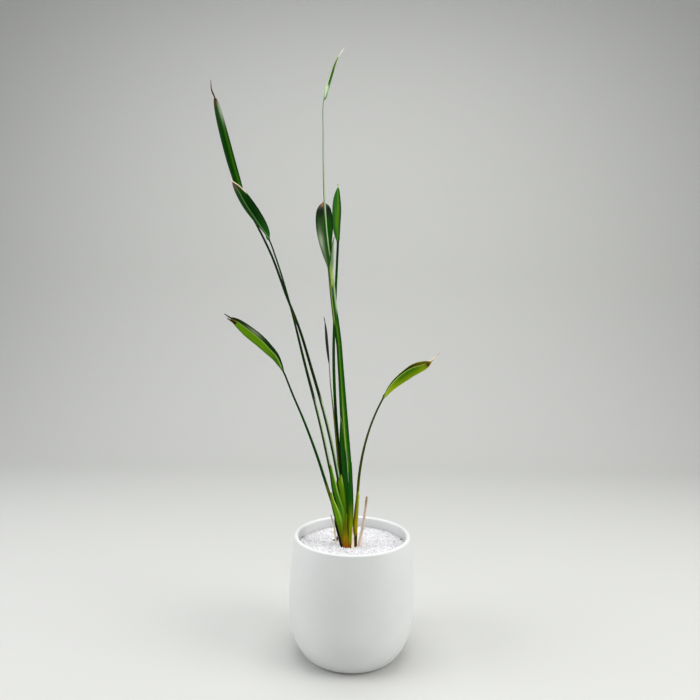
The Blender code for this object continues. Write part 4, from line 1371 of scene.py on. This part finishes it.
FLECKS = (
    Fleck((-0.0272, 0.0180, 0.0030), (0.0016, 0.0020, 0.0052), 70, DARK_BROWN),
    Fleck((-0.0310, 0.0200, 0.0014), (0.0034, 0.0016, 0.0014), 20, DARK_BROWN),
    Fleck((-0.0905, 0.0340, 0.0014), (0.0042, 0.0007, 0.0006), 75, GREY_BROWN),
    Fleck((0.0840, 0.0530, 0.0018), (0.0100, 0.0008, 0.0006), 112, BROWN),
    Fleck((0.0888, 0.0267, 0.0014), (0.0018, 0.0011, 0.0008), 20, GREY_BROWN),
)


def make_flecks():
    """All the dry crumbs, as uneven lumps."""
    ball, ball_faces = ball_shape(3)
    points, faces = [], []
    coat = Coat(CRUMB_GRAIN, 60)
    for i, fleck in enumerate(FLECKS):
        rough = np.array([1 + 0.45 * noise.noise(Vector(v) * 1.7 + Vector((5 * i, 0, 0))) for v in ball])
        lump = ball * rough[:, None] * fleck.size
        x, y, lift = fleck.place
        along = np.array(around((0, 0), 1, math.radians(fleck.turn)))
        flat = lump[:, :1] * along + lump[:, 1:2] * np.array([-along[1], along[0]])
        points.append(np.hstack([flat + [x, y], lump[:, 2:] + GRAVEL_TOP + relief(x, y) + lift]))
        faces += (ball_faces + i * len(ball)).tolist()
        coat.add(fleck.colour, lump[:, 1], 0.0)
    coat.put_on(add_mesh("dry_flecks", np.vstack(points), faces, "dry_sheath"))


# Stage, lights and camera


def make_backdrop():
    """A plain pale floor that sweeps up into a plain wall."""
    half, near, bend_at, bend, top = 4.0, -3.0, 1.3, 0.8, 4.5
    sweep = [around((bend_at, bend), bend, angle) for angle in np.linspace(-math.pi / 2, 0, 24)[1:]]
    vertices = []
    for y, z in [(near, 0.0), (bend_at, 0.0), *sweep, (bend_at + bend, top)]:
        vertices += [(-half, y, z), (half, y, z)]
    faces = [(i, i + 1, i + 3, i + 2) for i in range(0, len(vertices) - 2, 2)]
    mesh = bpy.data.meshes.new("backdrop")
    mesh.from_pydata(vertices, [], faces)
    mesh.shade_smooth()
    paper = Surface("backdrop_paper", 0.2)
    paper.feed(paper.shader, {"Base Color": (0.58, 0.585, 0.565, 1), "Roughness": 0.9})
    mesh.materials.append(paper.made)
    add_object("backdrop", mesh)


def add_area_light(name, place, target, size, power, tint):
    light = bpy.data.lights.new(name, "AREA")
    light.shape = "RECTANGLE"
    light.size, light.size_y = size
    light.energy = power
    light.color = tint
    lamp = add_object(name, light)
    lamp.location = place
    lamp.rotation_mode = "QUATERNION"
    lamp.rotation_quaternion = (Vector(target) - Vector(place)).to_track_quat("-Z", "Y")


def make_lights():
    world = bpy.data.worlds.new("soft_sky")
    world.use_nodes = True
    background = world.node_tree.nodes["Background"]
    background.inputs["Color"].default_value = (0.96, 0.98, 1.0, 1)
    background.inputs["Strength"].default_value = 0.34
    bpy.context.scene.world = world
    middle = (0, 0, 0.3)
    add_area_light("right", (1.8, -0.6, 1.35), middle, (1.2, 1.8), 28, (1.0, 0.99, 0.98))
    add_area_light("left", (-1.8, -0.4, 1.3), middle, (1.2, 1.8), 22, (0.99, 0.99, 1.0))
    add_area_light("top", (0.0, 0.05, 2.4), (0, 0, 0.2), (1.8, 1.8), 40, (1.0, 1.0, 1.0))


def make_camera():
    camera = bpy.data.cameras.new("camera")
    camera.sensor_width = SENSOR
    camera.lens = SENSOR * FOCAL_PIXELS / IMAGE_SIZE
    camera.clip_start = 0.01
    made = add_object("camera", camera)
    tilt = Matrix.Rotation(math.radians(90 - CAMERA_PITCH), 4, "X")
    roll = Matrix.Rotation(math.radians(CAMERA_ROLL), 4, "Z")
    made.matrix_world = Matrix.Translation(CAMERA_PLACE) @ tilt @ roll
    bpy.context.scene.camera = made


def main():
    for node in frame["nodes"].values():
        if node.name == "potting_soil":
            node.data.materials.clear()
            node.data.materials.append(MATERIALS["potting_soil"])
    make_pot()
    make_gravel_bed()
    make_grains()
    for index, leaf in enumerate(LEAVES):
        make_leaf(index, leaf)
    make_prong()
    for index, sheath in enumerate(SHEATHS):
        make_sheath(index, sheath)
    for index, remnant in enumerate(REMNANTS):
        make_remnant(index, remnant)
    make_flecks()
    make_backdrop()
    make_lights()
    make_camera()
    bpy.context.scene.view_settings.view_transform = "Standard"


main()
